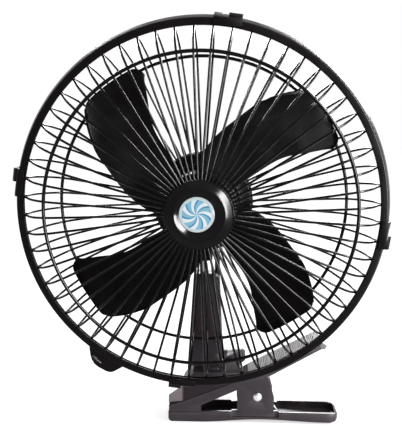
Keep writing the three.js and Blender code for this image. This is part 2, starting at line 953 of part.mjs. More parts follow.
function motorShaft() {
  const front = impeller.hubFrontDepth - spinner.bore;
  const rear = housing.rearDepth - housing.wall - motor.shaftRadius / 2;
  return rodY(motor.shaftRadius, front, rear, segments.medium);
}

function bearing(front) {
  const m = motor;
  const inner = m.shaftRadius + seatGap;
  return turned(
    [
      [inner, front],
      [m.bearingRadius, front],
      [m.bearingRadius, front + m.bearingLength],
      [inner, front + m.bearingLength],
    ],
    segments.small,
  );
}

const frontBearingDepth = housing.snoutFrontDepth + seatGap;
const rearBearingDepth = housing.rearDepth - housing.wall - seatGap - motor.bearingLength;
const screwDegrees = [0, 180];

function ringPlace(geometry, radius, degrees) {
  return geometry.translate(radius * Math.cos(radians(degrees)), 0, radius * Math.sin(radians(degrees)));
}

function motorFront() {
  const h = housing;
  const inner = h.flangeRadius - h.wall;
  const canBore = motor.canRadius + seatGap;
  const bearingBore = motor.bearingRadius + seatGap;
  const shell = turned(
    [
      [bearingBore, h.snoutFrontDepth],
      [h.snoutRadius - h.wall / 2, h.snoutFrontDepth],
      [h.snoutRadius, h.snoutFrontDepth + h.wall / 2],
      [h.snoutRadius, h.flangeDepth],
      [h.flangeRadius - h.flangeEdge, h.flangeDepth],
      [h.flangeRadius, h.flangeDepth + h.flangeEdge],
      [h.flangeRadius, h.splitDepth - seatGap],
      [inner, h.splitDepth - seatGap],
      [inner, h.flangeDepth + h.flangeEdge],
      [inner - h.flangeEdge + h.wall / 2, h.flangeDepth + h.wall],
      [canBore, h.flangeDepth + h.wall],
      [canBore, motor.canFrontDepth - seatGap],
      [bearingBore, motor.canFrontDepth - seatGap],
    ],
    segments.housing,
  );
  const foot = rodZ(socket.radius, -socket.foot, -socket.top, segments.medium).translate(0, socket.depth, 0);
  const bore = rodZ(shaft.radius + runningGap, -socket.foot - overrun, -socket.boreEnd);
  const screwed = housingScrew;
  const bosses = screwDegrees.map((degrees) => {
    const boss = rodY(screwed.bossRadius, h.flangeDepth + h.wall / 2, h.splitDepth - seatGap);
    return ringPlace(boss, screwed.ringRadius, degrees);
  });
  const holes = screwDegrees.map((degrees) => {
    const start = screwed.seatDepth - screwed.reach - screwed.headHeight - seatGap;
    const hole = rodY(screwed.radius + seatGap, start, h.splitDepth + overrun);
    return ringPlace(hole, screwed.ringRadius, degrees);
  });
  const v = sideVent;
  const ventFront = h.flangeDepth + v.frontInset;
  const ventRear = h.splitDepth - v.rearInset;
  const reach = h.flangeRadius + overrun;
  const slots = Array.from({ length: v.slots }, (_, i) => {
    const degrees = v.firstDegrees + ((v.lastDegrees - v.firstDegrees) * i) / (v.slots - 1);
    const slot = box(inner - overrun, reach, ventFront, ventRear, -v.width / 2, v.width / 2);
    return aroundHub(slot, degrees);
  });
  return cut(join(shell, foot, ...bosses), bore.translate(0, socket.depth, 0), ...holes, ...slots);
}

const gear = {
  wormRadius: worm.rootRadius + worm.threadHeight,
  pitchRadius: (worm.threadPitch * wheel.teeth) / (2 * Math.PI),
  y: wheel.depth,
};
gear.tipRadius = gear.pitchRadius + wheel.meshDepth / 2;
gear.x = gear.wormRadius - wheel.meshDepth + gear.tipRadius;

function motorRear() {
  const h = housing;
  const inner = h.flangeRadius - h.wall;
  const rearInner = h.rearRadius - h.wall;
  const back = h.rearDepth - h.wall;
  const seatInner = motor.bearingRadius + seatGap;
  const shell = turned(
    [
      [0, h.rearDepth],
      [h.rearRadius - h.rearEdge, h.rearDepth],
      [h.rearRadius, h.rearDepth - h.rearEdge],
      [h.rearRadius, h.taperDepth],
      [h.flangeRadius, h.bandDepth],
      [h.flangeRadius, h.splitDepth],
      [inner, h.splitDepth],
      [inner, h.bandDepth - h.wall / 2],
      [rearInner, h.taperDepth - h.wall / 2],
      [rearInner, back],
      [seatInner + h.wall, back],
      [seatInner + h.wall, rearBearingDepth],
      [seatInner, rearBearingDepth],
      [seatInner, back],
      [0, back],
    ],
    segments.housing,
  );
  const s = housingScrew;
  const bossEnd = s.seatDepth + s.headHeight + seatGap;
  const bosses = screwDegrees.map((degrees) =>
    ringPlace(rodY(s.bossRadius, h.splitDepth, bossEnd), s.ringRadius, degrees),
  );
  const holes = screwDegrees.flatMap((degrees) => [
    ringPlace(rodY(s.radius + seatGap, h.splitDepth - overrun, h.rearDepth), s.ringRadius, degrees),
    ringPlace(rodY(s.headRadius + seatGap, s.seatDepth, h.rearDepth, 12), s.ringRadius, degrees),
  ]);
  const from = back - overrun;
  const to = h.rearDepth + overrun;
  const spindleHole = rodZ(spindle.radius + seatGap, -h.rearRadius - overrun, 0).translate(gear.x, gear.y, 0);
  const stemHole = rodZ(knob.stemRadius + seatGap, 0, h.rearRadius + overrun).translate(gear.x, gear.y, 0);
  const r = rocker;
  const half = { x: r.width / 2 + r.gap + bezel.rim / 2, z: r.height / 2 + r.gap + bezel.rim / 2 };
  const switchHole = box(-half.x, half.x, from, to, r.above - half.z, r.above + half.z);
  const cordHole = rodY(grommet.radius + seatGap, from, to).translate(0, 0, -grommet.below);
  const vents = [-1, 1].flatMap((side) =>
    Array.from({ length: backVent.slots }, (_, i) => {
      const x = side * (backVent.firstX + i * backVent.pitch);
      const w = backVent.width / 2;
      return box(x - w, x + w, from, to, -backVent.halfHeight, backVent.halfHeight);
    }),
  );
  return cut(join(shell, ...bosses), ...holes, spindleHole, stemHole, switchHole, cordHole, ...vents);
}

function ringNut() {
  const g = guardNut;
  const back = housing.flangeDepth - seatGap - guard.wireHeight - g.wireGap;
  const front = back - g.thickness;
  const bore = housing.snoutRadius + seatGap;
  const disc = turned(
    [
      [bore, front - g.collarLength],
      [g.collarRadius - g.thickness / 2, front - g.collarLength],
      [g.collarRadius, front - g.collarLength + g.thickness / 2],
      [g.collarRadius, front],
      [g.radius - g.thickness / 2, front],
      [g.radius, front + g.thickness / 2],
      [g.radius, back],
      [bore, back],
    ],
    segments.housing,
  );
  const ribs = Array.from({ length: g.ribs }, (_, i) => {
    const inside = g.collarRadius - g.thickness;
    const outside = g.radius - g.thickness;
    const half = g.ribWidth / 2;
    const rib = box(inside, outside, front - g.ribHeight, back - g.thickness / 2, -half, half);
    return aroundHub(rib, (360 * i) / g.ribs);
  });
  return join(disc, ...ribs);
}

// Worm: a sleeve on the shaft whose surface carries one thread
function wormBody() {
  const w = worm;
  const rings = Math.round((w.length / w.threadPitch) * w.stepsPerTurn);
  const crestDepth = wheel.depth + w.threadPitch / 2;
  const places = [];
  const faces = [];
  const threadAt = (angle, depth) => {
    const turns = (depth - crestDepth) / w.threadPitch - angle / (2 * Math.PI);
    const off = Math.abs(turns - Math.round(turns)) * 2;
    const flank = (toothFootShare - off) / (toothFootShare - toothTipShare);
    return w.rootRadius + w.threadHeight * THREE.MathUtils.clamp(flank, 0, 1);
  };
  const bore = motor.shaftRadius + seatGap;
  const start = wheel.depth - w.length / 2;
  for (let i = 0; i <= rings; i++) {
    const depth = start + (w.length * i) / rings;
    for (let j = 0; j < w.stepsRound; j++) {
      const angle = (2 * Math.PI * j) / w.stepsRound;
      const end = i === 0 || i === rings;
      const radius = end ? w.rootRadius : threadAt(angle, depth);
      places.push(radius * Math.cos(angle), depth, radius * Math.sin(angle));
    }
  }
  [start + w.length, start].forEach((depth) => {
    for (let j = 0; j < w.stepsRound; j++) {
      const angle = (2 * Math.PI * j) / w.stepsRound;
      places.push(bore * Math.cos(angle), depth, bore * Math.sin(angle));
    }
  });
  const count = rings + 3;
  for (let i = 0; i < count; i++) {
    const here = i * w.stepsRound;
    const next = ((i + 1) % count) * w.stepsRound;
    for (let j = 0; j < w.stepsRound; j++) {
      const k = (j + 1) % w.stepsRound;
      faces.push(here + j, next + j, next + k, here + j, next + k, here + k);
    }
  }
  const geometry = new THREE.BufferGeometry();
  geometry.setAttribute("position", new THREE.BufferAttribute(new Float32Array(places), 3));
  geometry.setIndex(faces);
  return geometry;
}

function wormWheel() {
  const pitch = 360 / wheel.teeth;
  const root = gear.tipRadius - wheel.toothHeight;
  const outline = Array.from({ length: wheel.teeth }, (_, i) => {
    const middle = 180 + i * pitch;
    return [
      onCircle(root, middle - (pitch * toothFootShare) / 2),
      onCircle(gear.tipRadius, middle - (pitch * toothTipShare) / 2),
      onCircle(gear.tipRadius, middle + (pitch * toothTipShare) / 2),
      onCircle(root, middle + (pitch * toothFootShare) / 2),
    ];
  }).flat();
  const hole = arc(0, 0, spindle.radius + seatGap, 0, 330, 11);
  return prismZ(outline, -wheel.thickness / 2, wheel.thickness / 2, [hole]).translate(gear.x, gear.y, 0);
}

// Crank and link: the anchor stands on the neck, the crank on the head. The arm and the link are
// long enough to reach the anchor at both ends of the swing.
const linkage = (() => {
  const axis = new THREE.Vector2(gear.x, gear.y - socket.depth);
  const anchorAt = (degrees) =>
    new THREE.Vector2(anchor.x, anchor.y).rotateAround(new THREE.Vector2(), radians(degrees));
  const far = axis.distanceTo(anchorAt(-swingDegrees));
  const near = axis.distanceTo(anchorAt(swingDegrees));
  const arm = (far - near) / 2;
  const length = (far + near) / 2;
  const across = axis.clone().sub(anchorAt(0));
  const middle = across.length();
  const lean = Math.acos((length ** 2 + middle ** 2 - arm ** 2) / (2 * length * middle));
  const direction = across.angle() - lean;
  const along = new THREE.Vector2(Math.cos(direction), Math.sin(direction));
  const pin = anchorAt(0).addScaledVector(along, length);
  return { arm, length, direction, pin: { x: pin.x, y: pin.y + socket.depth } };
})();

function stadium(a, b, radiusA, radiusB) {
  const degrees = THREE.MathUtils.radToDeg(Math.atan2(b.y - a.y, b.x - a.x));
  return [
    ...arc(a.x, a.y, radiusA, degrees + 90, degrees + 270, 5),
    ...arc(b.x, b.y, radiusB, degrees - 90, degrees + 90, 5),
  ];
}

function crankArm() {
  const centre = { x: gear.x, y: gear.y };
  const c = crank;
  const bottom = c.top - c.thickness;
  const hole = arc(centre.x, centre.y, spindle.radius + seatGap, 0, 324, 9);
  const arm = prismZ(stadium(centre, linkage.pin, c.hubRadius, c.armWidth / 2), bottom, c.top, [hole]);
  const pinEnd = link.top + link.openPivotGap;
  const pin = rodZ(c.pinRadius, pinEnd, bottom + c.thickness / 2);
  return join(arm, pin.translate(linkage.pin.x, linkage.pin.y, 0));
}

function spindleRod() {
  return rodZ(spindle.radius, crank.top - crank.thickness, spindle.top, 12).translate(gear.x, gear.y, 0);
}

const anchorPlace = { x: anchor.x, y: socket.depth + anchor.y };

function linkArm() {
  const outline = stadium(anchorPlace, linkage.pin, link.halfWidth, link.halfWidth);
  const hole = (place, radius) => arc(place.x, place.y, radius, 0, 324, 9);
  return prismZ(outline, link.top - link.thickness, link.top, [
    hole(anchorPlace, anchor.radius + seatGap),
    hole(linkage.pin, crank.pinRadius + seatGap / 2),
  ]);
}

function clutchKnob() {
  const k = knob;
  const grip = Array.from({ length: k.flutes * 2 }, (_, i) => {
    const radius = i % 2 ? k.radius : k.radius - k.fluteRadius;
    return onCircle(radius, (180 * i) / k.flutes);
  });
  const bottom = housing.rearRadius + runningGap + seatGap;
  const top = bottom + k.gripHeight;
  const crown = rodZ(k.radius - 2 * k.fluteRadius, top, top + k.fluteRadius, 12);
  return join(
    prismZ(grip, bottom, top),
    crown,
    rodZ(k.stemRadius, k.stemBottom, bottom + k.fluteRadius, 12),
  ).translate(gear.x, gear.y, 0);
}

// Switch, grommet and housing screws
function switchFrame() {
  const r = rocker;
  const inner = { x: r.width / 2 + r.gap, z: r.height / 2 + r.gap };
  const rectangle = (x, z) => [
    [-x, r.above - z],
    [x, r.above - z],
    [x, r.above + z],
    [-x, r.above + z],
  ];
  const hole = [rectangle(inner.x, inner.z)];
  const sleeveWall = bezel.rim / 2 - seatGap;
  const seat = housing.rearDepth + seatGap;
  const front = seat + bezel.thickness;
  const face = prismY(rectangle(inner.x + bezel.rim, inner.z + bezel.rim), seat, front, hole);
  const sleeve = prismY(
    rectangle(inner.x + sleeveWall, inner.z + sleeveWall),
    housing.rearDepth - housing.wall,
    seat + bezel.thickness / 2,
    hole,
  );
  return join(face, sleeve);
}

function speedSwitch() {
  const r = rocker;
  const proud = housing.rearDepth + seatGap + bezel.thickness;
  const half = r.height / 2;
  const hinge = housing.rearDepth - r.hingeInset;
  return prismX(
    [
      [hinge - r.crown, -half * r.footShare],
      [hinge + r.crown, -half],
      [proud + r.crown, -half * r.crestShare],
      [proud, 0],
      [proud + r.crown, half * r.crestShare],
      [hinge + r.crown, half],
      [hinge - r.crown, half * r.footShare],
    ],
    -r.width / 2,
    r.width / 2,
  ).translate(0, 0, r.above);
}

function cordGrommet() {
  const g = grommet;
  const seat = housing.rearDepth + seatGap;
  return turned(
    [
      [g.bore, housing.rearDepth - housing.wall],
      [g.radius, housing.rearDepth - housing.wall],
      [g.radius, seat],
      [g.flangeRadius, seat],
      [g.flangeRadius, seat + g.flange / 2],
      [g.flangeRadius - g.flange / 2, seat + g.flange],
      [g.bore, seat + g.flange],
    ],
    segments.small,
  ).translate(0, 0, -g.below);
}

function housingScrewAt(degrees) {
  const s = housingScrew;
  const made = screw(s, s.reach + s.headHeight).translate(0, s.seatDepth + seatGap, 0);
  return ringPlace(made, s.ringRadius, degrees);
}

// Neck
const neckTop = tilt.z + neck.height;
const screwCentre = pivot.x + (neck.topRight - neck.topLeft) / 2;
const neckScrewHeights = [neck.height - neckScrew.upperInset, neckScrew.lowerHeight];
const legs = {
  slotLeft: fork.knuckleX - fork.knuckleWidth / 2 - runningGap,
  slotRight: fork.knuckleX + fork.knuckleWidth / 2 + runningGap,
  left: pivot.x - neck.footLeft,
  right: pivot.x + neck.footRight,
};

// An outline of [x, z] pairs carried along Y with both edges rounded over
function roundedY(points, from, to, edge) {
  return new THREE.ExtrudeGeometry(shapeOf(points.map(([x, z]) => [z, x])), {
    depth: to - from - 2 * edge,
    bevelEnabled: true,
    bevelThickness: edge,
    bevelSize: edge,
    bevelOffset: -edge,
    bevelSegments: 2,
  })
    .applyMatrix4(alongY)
    .translate(0, from + edge, 0);
}

function neckOutline(inset) {
  const n = neck;
  const knee = tilt.z + n.kneeHeight;
  const foot = tilt.z - n.footRadius;
  const rightX = pivot.x + n.topRight - n.rightShoulder;
  const leftX = pivot.x - n.topLeft + n.leftShoulder;
  return [
    [legs.left + inset, foot],
    [legs.right - inset, foot],
    [legs.right - inset, knee],
    ...arc(rightX, neckTop - n.rightShoulder, n.rightShoulder - inset, 0, 90, 4),
    ...arc(leftX, neckTop - n.leftShoulder, n.leftShoulder - inset, 90, 180, 3),
    [legs.left + inset, knee],
  ];
}

function neckShell() {
  const n = neck;
  const solid = roundedY(neckOutline(0), -n.halfDepth, n.halfDepth, n.edge);
  const side = prismX(
    [
      ...arc(0, tilt.z, n.footRadius, 180, 360, 10),
      [n.halfDepth, neckTop],
      [-n.halfDepth, neckTop],
    ],
    legs.left - overrun,
    legs.right + overrun,
  );
  const roofRadius = fork.knuckleRadius + fork.roofGap;
  const pocketFoot = tilt.z + roofRadius + n.wall;
  const pocketDepth = n.halfDepth - n.wall;
  const pocket = common(
    prismY(neckOutline(n.wall), -pocketDepth, pocketDepth),
    box(legs.left, legs.right, -n.halfDepth, n.halfDepth, pocketFoot, neckTop),
  );
  const screwBosses = neckScrewHeights.map((above) =>
    rodY(neckScrew.bossRadius, -n.halfDepth, n.halfDepth, 12).translate(screwCentre, 0, tilt.z + above),
  );
  const shaftBoss = rodZ(shaft.bossRadius, neckTop - shaft.insertion - n.wall, neckTop, 12);
  const hollow = cut(pocket, ...screwBosses, shaftBoss.translate(pivot.x, 0, 0));
  const roof = rodX(roofRadius, legs.slotLeft, legs.slotRight, segments.medium).translate(0, 0, tilt.z);
  const slot = box(legs.slotLeft, legs.slotRight, -roofRadius, roofRadius, tilt.z - roofRadius, tilt.z);
  const bolt = rodX(wing.shankRadius + seatGap, legs.left - overrun, legs.right + overrun);
  const nutHole = prismX(
    arc(0, tilt.z, tiltNut.radius + seatGap, 0, 300, 5),
    legs.left - overrun,
    legs.left + tiltNut.inset + tiltNut.height + seatGap,
  );
  const shaftHole = rodZ(shaft.radius + seatGap, neckTop - shaft.insertion, neckTop + overrun);
  const placed = [bolt.translate(0, 0, tilt.z), shaftHole.translate(pivot.x, 0, 0)];
  return cut(common(solid, side), hollow, roof, slot, nutHole, ...placed);
}

function neckHalf(rear) {
  const n = neck;
  const gap = seatGap / 2;
  const reach = n.halfDepth + overrun;
  const keep = rear
    ? box(legs.left - overrun, legs.right + overrun, gap, reach, 0, neckTop + overrun)
    : box(legs.left - overrun, legs.right + overrun, -reach, -gap, 0, neckTop + overrun);
  const holes = neckScrewHeights.flatMap((above) => {
    const seat = n.halfDepth - neckScrew.headHeight;
    return [
      rodY(neckScrew.radius + seatGap, -neckScrew.reach - seatGap, seat + overrun),
      rodY(neckScrew.headRadius + seatGap, seat - seatGap, n.halfDepth + overrun, 12),
    ].map((rod) => rod.translate(screwCentre, 0, tilt.z + above));
  });
  const half = cut(common(neckShell(), keep), ...holes);
  if (!rear) return half;
  const stand = hub.z + link.top;
  const place = (rod) => rod.translate(pivot.x + anchor.x, anchor.y, 0);
  const shoulder = stand - link.thickness - seatGap;
  return join(
    half,
    place(rodZ(anchor.shoulderRadius, neckTop - anchor.rooted, shoulder, 12)),
    place(rodZ(anchor.radius, shoulder - overrun, stand, 10)),
  );
}

function neckScrewAt(above) {
  const seat = neck.halfDepth - neckScrew.headHeight;
  return screw(neckScrew, seat + neckScrew.reach).translate(screwCentre, seat, tilt.z + above);
}

function pivotShaft() {
  const bottom = neckTop - shaft.insertion + seatGap;
  const top = hub.z - socket.boreEnd - seatGap;
  return rodZ(shaft.radius, bottom, top, 16).translate(pivot.x, 0, 0);
}

function wingScrew() {
  const w = wing;
  const seat = legs.right + seatGap;
  const plateStart = seat + w.bossLength / 2;
  const plateEnd = seat + w.bossLength + w.length;
  const shankStart = legs.left + tiltNut.inset;
  const plate = prismY(
    [
      [plateStart, -w.rootHalf],
      [plateEnd - w.corner, -w.tipHalf],
      [plateEnd, -w.tipHalf + w.corner],
      [plateEnd, w.tipHalf - w.corner],
      [plateEnd - w.corner, w.tipHalf],
      [plateStart, w.rootHalf],
    ],
    -w.thickness / 2,
    w.thickness / 2,
  );
  return join(
    rodX(w.shankRadius, shankStart, plateStart + w.thickness),
    rodX(w.bossRadius, seat, seat + w.bossLength, 16),
    plate,
  ).translate(0, 0, tilt.z);
}

function tiltNutBody() {
  const from = legs.left + tiltNut.inset;
  const hole = arc(0, 0, wing.shankRadius + seatGap, 0, 330, 11);
  const hexagon = arc(0, 0, tiltNut.radius, 0, 300, 5);
  return prismX(hexagon, from, from + tiltNut.height, [hole]).translate(0, 0, tilt.z);
}

// Clamp: lines of [x, z] points seen from the front
function roofLine() {
  return [
    [jaw.tipX, roof.tipZ],
    [roof.noseX, roof.noseZ],
    [roof.shoulderX, roof.shoulderZ],
    [roof.rootX, roof.rootZ],
    [handle.endX, handle.endZ],
    [handle.noseX, handle.noseZ],
    [handle.lipX, handle.lipZ],
  ];
}

// The line moved sideways, to its right as it runs
function offset(line, distance) {
  const normals = line.slice(1).map(([x, z], i) => {
    const [x0, z0] = line[i];
    return new THREE.Vector2(z - z0, x0 - x).normalize();
  });
  return line.map(([x, z], i) => {
    const a = normals[Math.max(i - 1, 0)];
    const b = normals[Math.min(i, normals.length - 1)];
    const middle = a.clone().add(b).normalize();
    const reach = distance / middle.dot(a);
    return [x + middle.x * reach, z + middle.y * reach];
  });
}

function roofZ(x) {
  const line = roofLine();
  const i = THREE.MathUtils.clamp(line.findIndex(([end]) => end > x) - 1, 0, line.length - 2);
  const [[x0, z0], [x1, z1]] = [line[i], line[i + 1]];
  return z0 + ((x - x0) * (z1 - z0)) / (x1 - x0);
}

const roofSlope = Math.atan2(roof.shoulderZ - roof.noseZ, roof.shoulderX - roof.noseX);
const handleSlope = Math.atan2(handle.endZ - roof.rootZ, handle.endX - roof.rootX);

// A piece built upright, set square on the sloping roof at x
function onRoof(geometry, x) {
  return geometry.rotateY(-roofSlope).translate(x, 0, roofZ(x));
}

function rivetBore() {
  const reach = jaw.halfWidth + overrun;
  return rodY(rivet.radius + seatGap, -reach, reach).translate(rivetAxis.x, 0, rivetAxis.z);
}

function upperArm() {
  const left = rivetAxis.x - ear.left;
  const right = rivetAxis.x + ear.right;
  const foot = rivetAxis.z - ear.drop + ear.corner;
  const outline = [
    [jaw.tipX, jaw.gap],
    [jaw.heelX, jaw.gap],
    [jaw.heelX, jaw.gap + ear.heelAbove],
    [left, rivetAxis.z + ear.heelAbove],
    ...arc(left + ear.corner, foot, ear.corner, 180, 270, 3),
    ...arc(right - ear.corner, foot, ear.corner, 270, 360, 3),
    [right, rivetAxis.z],
    [handle.underX, handle.underZ],
    [handle.underEndX, handle.underEndZ],
    ...roofLine().reverse(),
  ];
  const w = jaw.halfWidth;
  const walls = [prismY(outline, -w, -w + wall.upper), prismY(outline, w - wall.upper, w)];
  const cover = prismY([...roofLine(), ...offset(roofLine(), wall.roof).reverse()], -w, w);
  const floor = jaw.gap + jaw.padThickness + seatGap;
  const jawFloor = box(jaw.tipX, jaw.heelX, -w, w, floor, floor + wall.roof);
  const tip = box(jaw.tipX, jaw.tipX + wall.upper, -w, w, jaw.gap, roof.tipZ);
  const onHandle = (geometry, x) => geometry.rotateY(-handleSlope).translate(x, 0, roofZ(x));
  const gripStart = handle.endX - grip.length;
  const padLength = grip.length / Math.cos(handleSlope);
  const sink = wall.roof / 2;
  const pad = onHandle(box(0, padLength, -w, w, -sink, grip.height), gripStart);
  const ribs = Array.from({ length: grip.ribs }, (_, i) => {
    const rib = box(0, grip.ribWidth, -w + wall.upper, w - wall.upper, 0, grip.height + grip.ribHeight);
    return onHandle(rib, gripStart + (grip.length * (2 * i + 1)) / (2 * grip.ribs));
  });
  const bar = rodY(tipBar.radius, -w, w, 12).translate(
    (handle.noseX + handle.underEndX) / 2,
    0,
    (handle.noseZ + handle.lipZ) / 2,
  );
  const screwHoles = blockScrew.places.map((x) =>
    onRoof(rodZ(blockScrew.radius + seatGap, -wall.roof - overrun, overrun, 10), x),
  );
  return cut(join(cover, ...walls, jawFloor, tip, pad, ...ribs, bar), rivetBore(), ...screwHoles);
}

// The lower arm seen from the front, or the hollow inside it, which lies in from every wall
function lowerOutline(floor) {
  const l = lower;
  const side = floor ? wall.lower : 0;
  const corner = l.tipCorner - side;
  const belly = new THREE.SplineCurve(
    [
      [l.footEndX, l.underside],
      [l.archX, l.archZ],
      [l.gripX, l.gripZ],
    ].map(([x, z]) => new THREE.Vector2(x, z + floor)),
  );
  const bottom = [
    ...arc(l.tipX + side + corner, l.underside + floor + corner, corner, 180, 270, 3),
    ...belly.getPoints(7).map((p) => [p.x, p.y]),
  ];
  if (floor) return [...bottom, [l.endX - side, l.topZ + overrun], [l.tipX + side, l.topZ + overrun]];
  return [
    ...bottom,
    [l.endX, l.gripZ + l.endFlat],
    [l.endX, 0],
    [l.endX - l.topZ, l.topZ],
    [l.riseX, l.topZ],
    [jaw.heelX, -jaw.gap],
    [l.tipX, -jaw.gap],
  ];
}

function lowerPlan(inset) {
  const l = lower;
  const wide = jaw.halfWidth - inset;
  const narrow = jaw.halfWidth - l.inset - inset;
  const corner = wide / 2;
  const low = l.underside - overrun;
  const high = rivetAxis.z + innerEar.radius + overrun;
  return join(
    box(l.tipX + inset, l.insetFromX - inset, -wide, wide, low, high),
    box(l.insetFromX - 2 * wall.lower, l.insetToX + 2 * wall.lower, -narrow, narrow, low, high),
    prismZ(
      [
        [l.insetToX + inset, -wide],
        ...arc(l.endX - inset - corner, -wide + corner, corner, 270, 360, 3),
        ...arc(l.endX - inset - corner, wide - corner, corner, 0, 90, 3),
        [l.insetToX + inset, wide],
      ],
      low,
      high,
    ),
  );
}

function lowerArm() {
  const l = lower;
  const w = jaw.halfWidth;
  const tray = cut(
    common(prismY(lowerOutline(0), -w, w), lowerPlan(0)),
    common(prismY(lowerOutline(wall.floor), -w, w), lowerPlan(wall.lower)),
  );
  const outer = w - l.inset;
  const earOutline = [
    [rivetAxis.x - innerEar.footHalf, -jaw.gap],
    [rivetAxis.x + innerEar.footHalf, -jaw.gap],
    ...arc(rivetAxis.x, rivetAxis.z, innerEar.radius, 0, 180, 8),
  ];
  const ears = [
    prismY(earOutline, -outer, -outer + wall.lower),
    prismY(earOutline, outer - wall.lower, outer),
  ];
  const half = w - wall.lower / 2;
  const shelfTop = -jaw.gap - jaw.padThickness - seatGap;
  const shelf = box(l.tipX + wall.lower / 2, jaw.heelX, -half, half, shelfTop - wall.floor, shelfTop);
  const ribs = Array.from({ length: l.ribs }, (_, i) => {
    const x = l.endX - l.ribsInset + i * l.ribPitch;
    return box(x, x + l.ribThickness, -half, half, l.archZ + wall.floor / 4, l.topZ - wall.floor);
  });
  return cut(join(tray, ...ears, shelf, ...ribs), rivetBore());
}

// Rubber pad with cross grooves; up is 1 for the pad whose grooved face looks up
function jawPad(up) {
  const from = (up > 0 ? lower.tipX + wall.lower : jaw.tipX + wall.upper) + seatGap;
  const to = jaw.heelX - jaw.padInset;
  const step = (to - from) / jaw.ribs;
  const face = -up * jaw.gap;
  const back = face - up * jaw.padThickness;
  const groove = face - up * jaw.ribDepth;
  const crests = Array.from({ length: jaw.ribs }, (_, i) => [
    [from + i * step, groove],
    [from + (i + jaw.crestFromShare) * step, face],
    [from + (i + jaw.crestToShare) * step, face],
    [from + (i + 1) * step, groove],
  ]).flat();
  const outline = [[from, back], ...crests.filter((_, i) => i % 4 !== 0 || i === 0), [to, back]];
  const half = jaw.halfWidth - wall.upper - seatGap;
  return prismY(outline, -half, half);
}

function baseBlock() {
  const b = block;
  const w = jaw.halfWidth;
  const above = (x) => [x, roofZ(x) + runningGap];
  const outline = [
    above(b.noseX),
    above(roof.noseX),
    above(roof.shoulderX),
    above(b.rightX),
    [b.rightX, b.deckZ],
    [b.deckX, b.deckZ],
    [b.leftX, b.leftZ],
    [b.noseX, b.noseZ],
  ];
  const plan = prismZ(
    [
      [b.noseX, -b.noseHalf],
      [b.leftX, -w],
      [b.rightX, -w],
      [b.rightX, w],
      [b.leftX, w],
      [b.noseX, b.noseHalf],
    ],
    0,
    b.deckZ + overrun,
  );
  const solid = common(prismY(outline, -w, w), plan);
  const pocket = prismY(
    [
      [b.leftX + b.wall, 0],
      [b.rightX - b.wall, 0],
      [b.rightX - b.wall, b.deckZ - b.wall],
      [b.deckX + b.wall, b.deckZ - b.wall],
      [b.leftX + b.wall, b.leftZ - b.wall],
    ],
    -w + b.wall,
    w - b.wall,
  );
  const bosses = blockScrew.places.map((x) =>
    onRoof(rodZ(blockScrew.bossRadius, runningGap, b.deckZ, 12), x),
  );
  const bores = blockScrew.places.map((x) =>
    onRoof(rodZ(blockScrew.radius + seatGap, -overrun, blockScrew.length + seatGap, 10), x),
  );
  const half = fork.knuckleWidth / 2;
  const from = fork.knuckleX - half;
  const to = fork.knuckleX + half;
  const pedestal = box(from, to, -b.pedestalHalf, b.pedestalHalf, b.deckZ - b.wall, tilt.z);
  const knuckle = rodX(fork.knuckleRadius, from, to, segments.medium).translate(0, 0, tilt.z);
  const bolt = rodX(wing.shankRadius + seatGap, from - overrun, to + overrun).translate(0, 0, tilt.z);
  const ribs = bosses.map((boss) => common(boss, solid));
  return cut(join(cut(solid, pocket), ...ribs, pedestal, knuckle), ...bores, bolt);
}

function blockScrewAt(x) {
  const length = blockScrew.length + wall.roof + seatGap;
  const upright = screw(blockScrew, length).rotateX(-Math.PI / 2).translate(0, 0, -wall.roof - seatGap);
  return onRoof(upright, x);
}

function rivetBody() {
  const shankEnd = jaw.halfWidth + seatGap;
  const r = rivet;
  const headEnd = shankEnd + r.headHeight;
  return turned(
    [
      [0, -headEnd],
      [r.headRadius - r.dome * 2, -headEnd],
      [r.headRadius, -headEnd + r.dome * 2],
      [r.headRadius, -shankEnd],
      [r.radius, -shankEnd],
      [r.radius, shankEnd],
      [r.headRadius, shankEnd],
      [r.headRadius, headEnd - r.dome * 2],
      [r.headRadius - r.dome * 2, headEnd],
      [0, headEnd],
    ],
    12,
  ).translate(rivetAxis.x, 0, rivetAxis.z);
}

// Torsion spring round the rivet: its legs press the handle and the grip apart
function springPath() {
  const s = spring;
  const { archX, gripX, archZ, gripZ } = lower;
  const floorZ = THREE.MathUtils.mapLinear(s.lowerLegX, archX, gripX, archZ, gripZ);
  const lowerEnd = new THREE.Vector2(s.lowerLegX, floorZ + wall.floor + s.wireRadius + runningGap);
  const roofDrop = (wall.roof + s.wireRadius + runningGap) / Math.cos(handleSlope);
  const upperEnd = new THREE.Vector2(s.upperLegX, roofZ(s.upperLegX) - roofDrop);
  const centre = new THREE.Vector2(rivetAxis.x, rivetAxis.z);
  const lean = (end) => Math.acos(s.coilRadius / end.distanceTo(centre));
  const start = lowerEnd.clone().sub(centre).angle() - 2 * Math.PI + lean(lowerEnd);
  const stop = upperEnd.clone().sub(centre).angle() - lean(upperEnd) + 2 * Math.PI * (s.turns - 1);
  const turns = (stop - start) / (2 * Math.PI);
  const count = Math.round(turns * s.stepsPerTurn);
  const halfWidth = (s.pitch * turns) / 2;
  const coil = Array.from({ length: count + 1 }, (_, i) => {
    const angle = start + ((stop - start) * i) / count;
    return new THREE.Vector3(
      centre.x + s.coilRadius * Math.cos(angle),
      -halfWidth + (2 * halfWidth * i) / count,
      centre.y + s.coilRadius * Math.sin(angle),
    );
  });
  return [
    new THREE.Vector3(lowerEnd.x, -halfWidth, lowerEnd.y),
    ...coil,
    new THREE.Vector3(upperEnd.x, halfWidth, upperEnd.y),
  ];
}

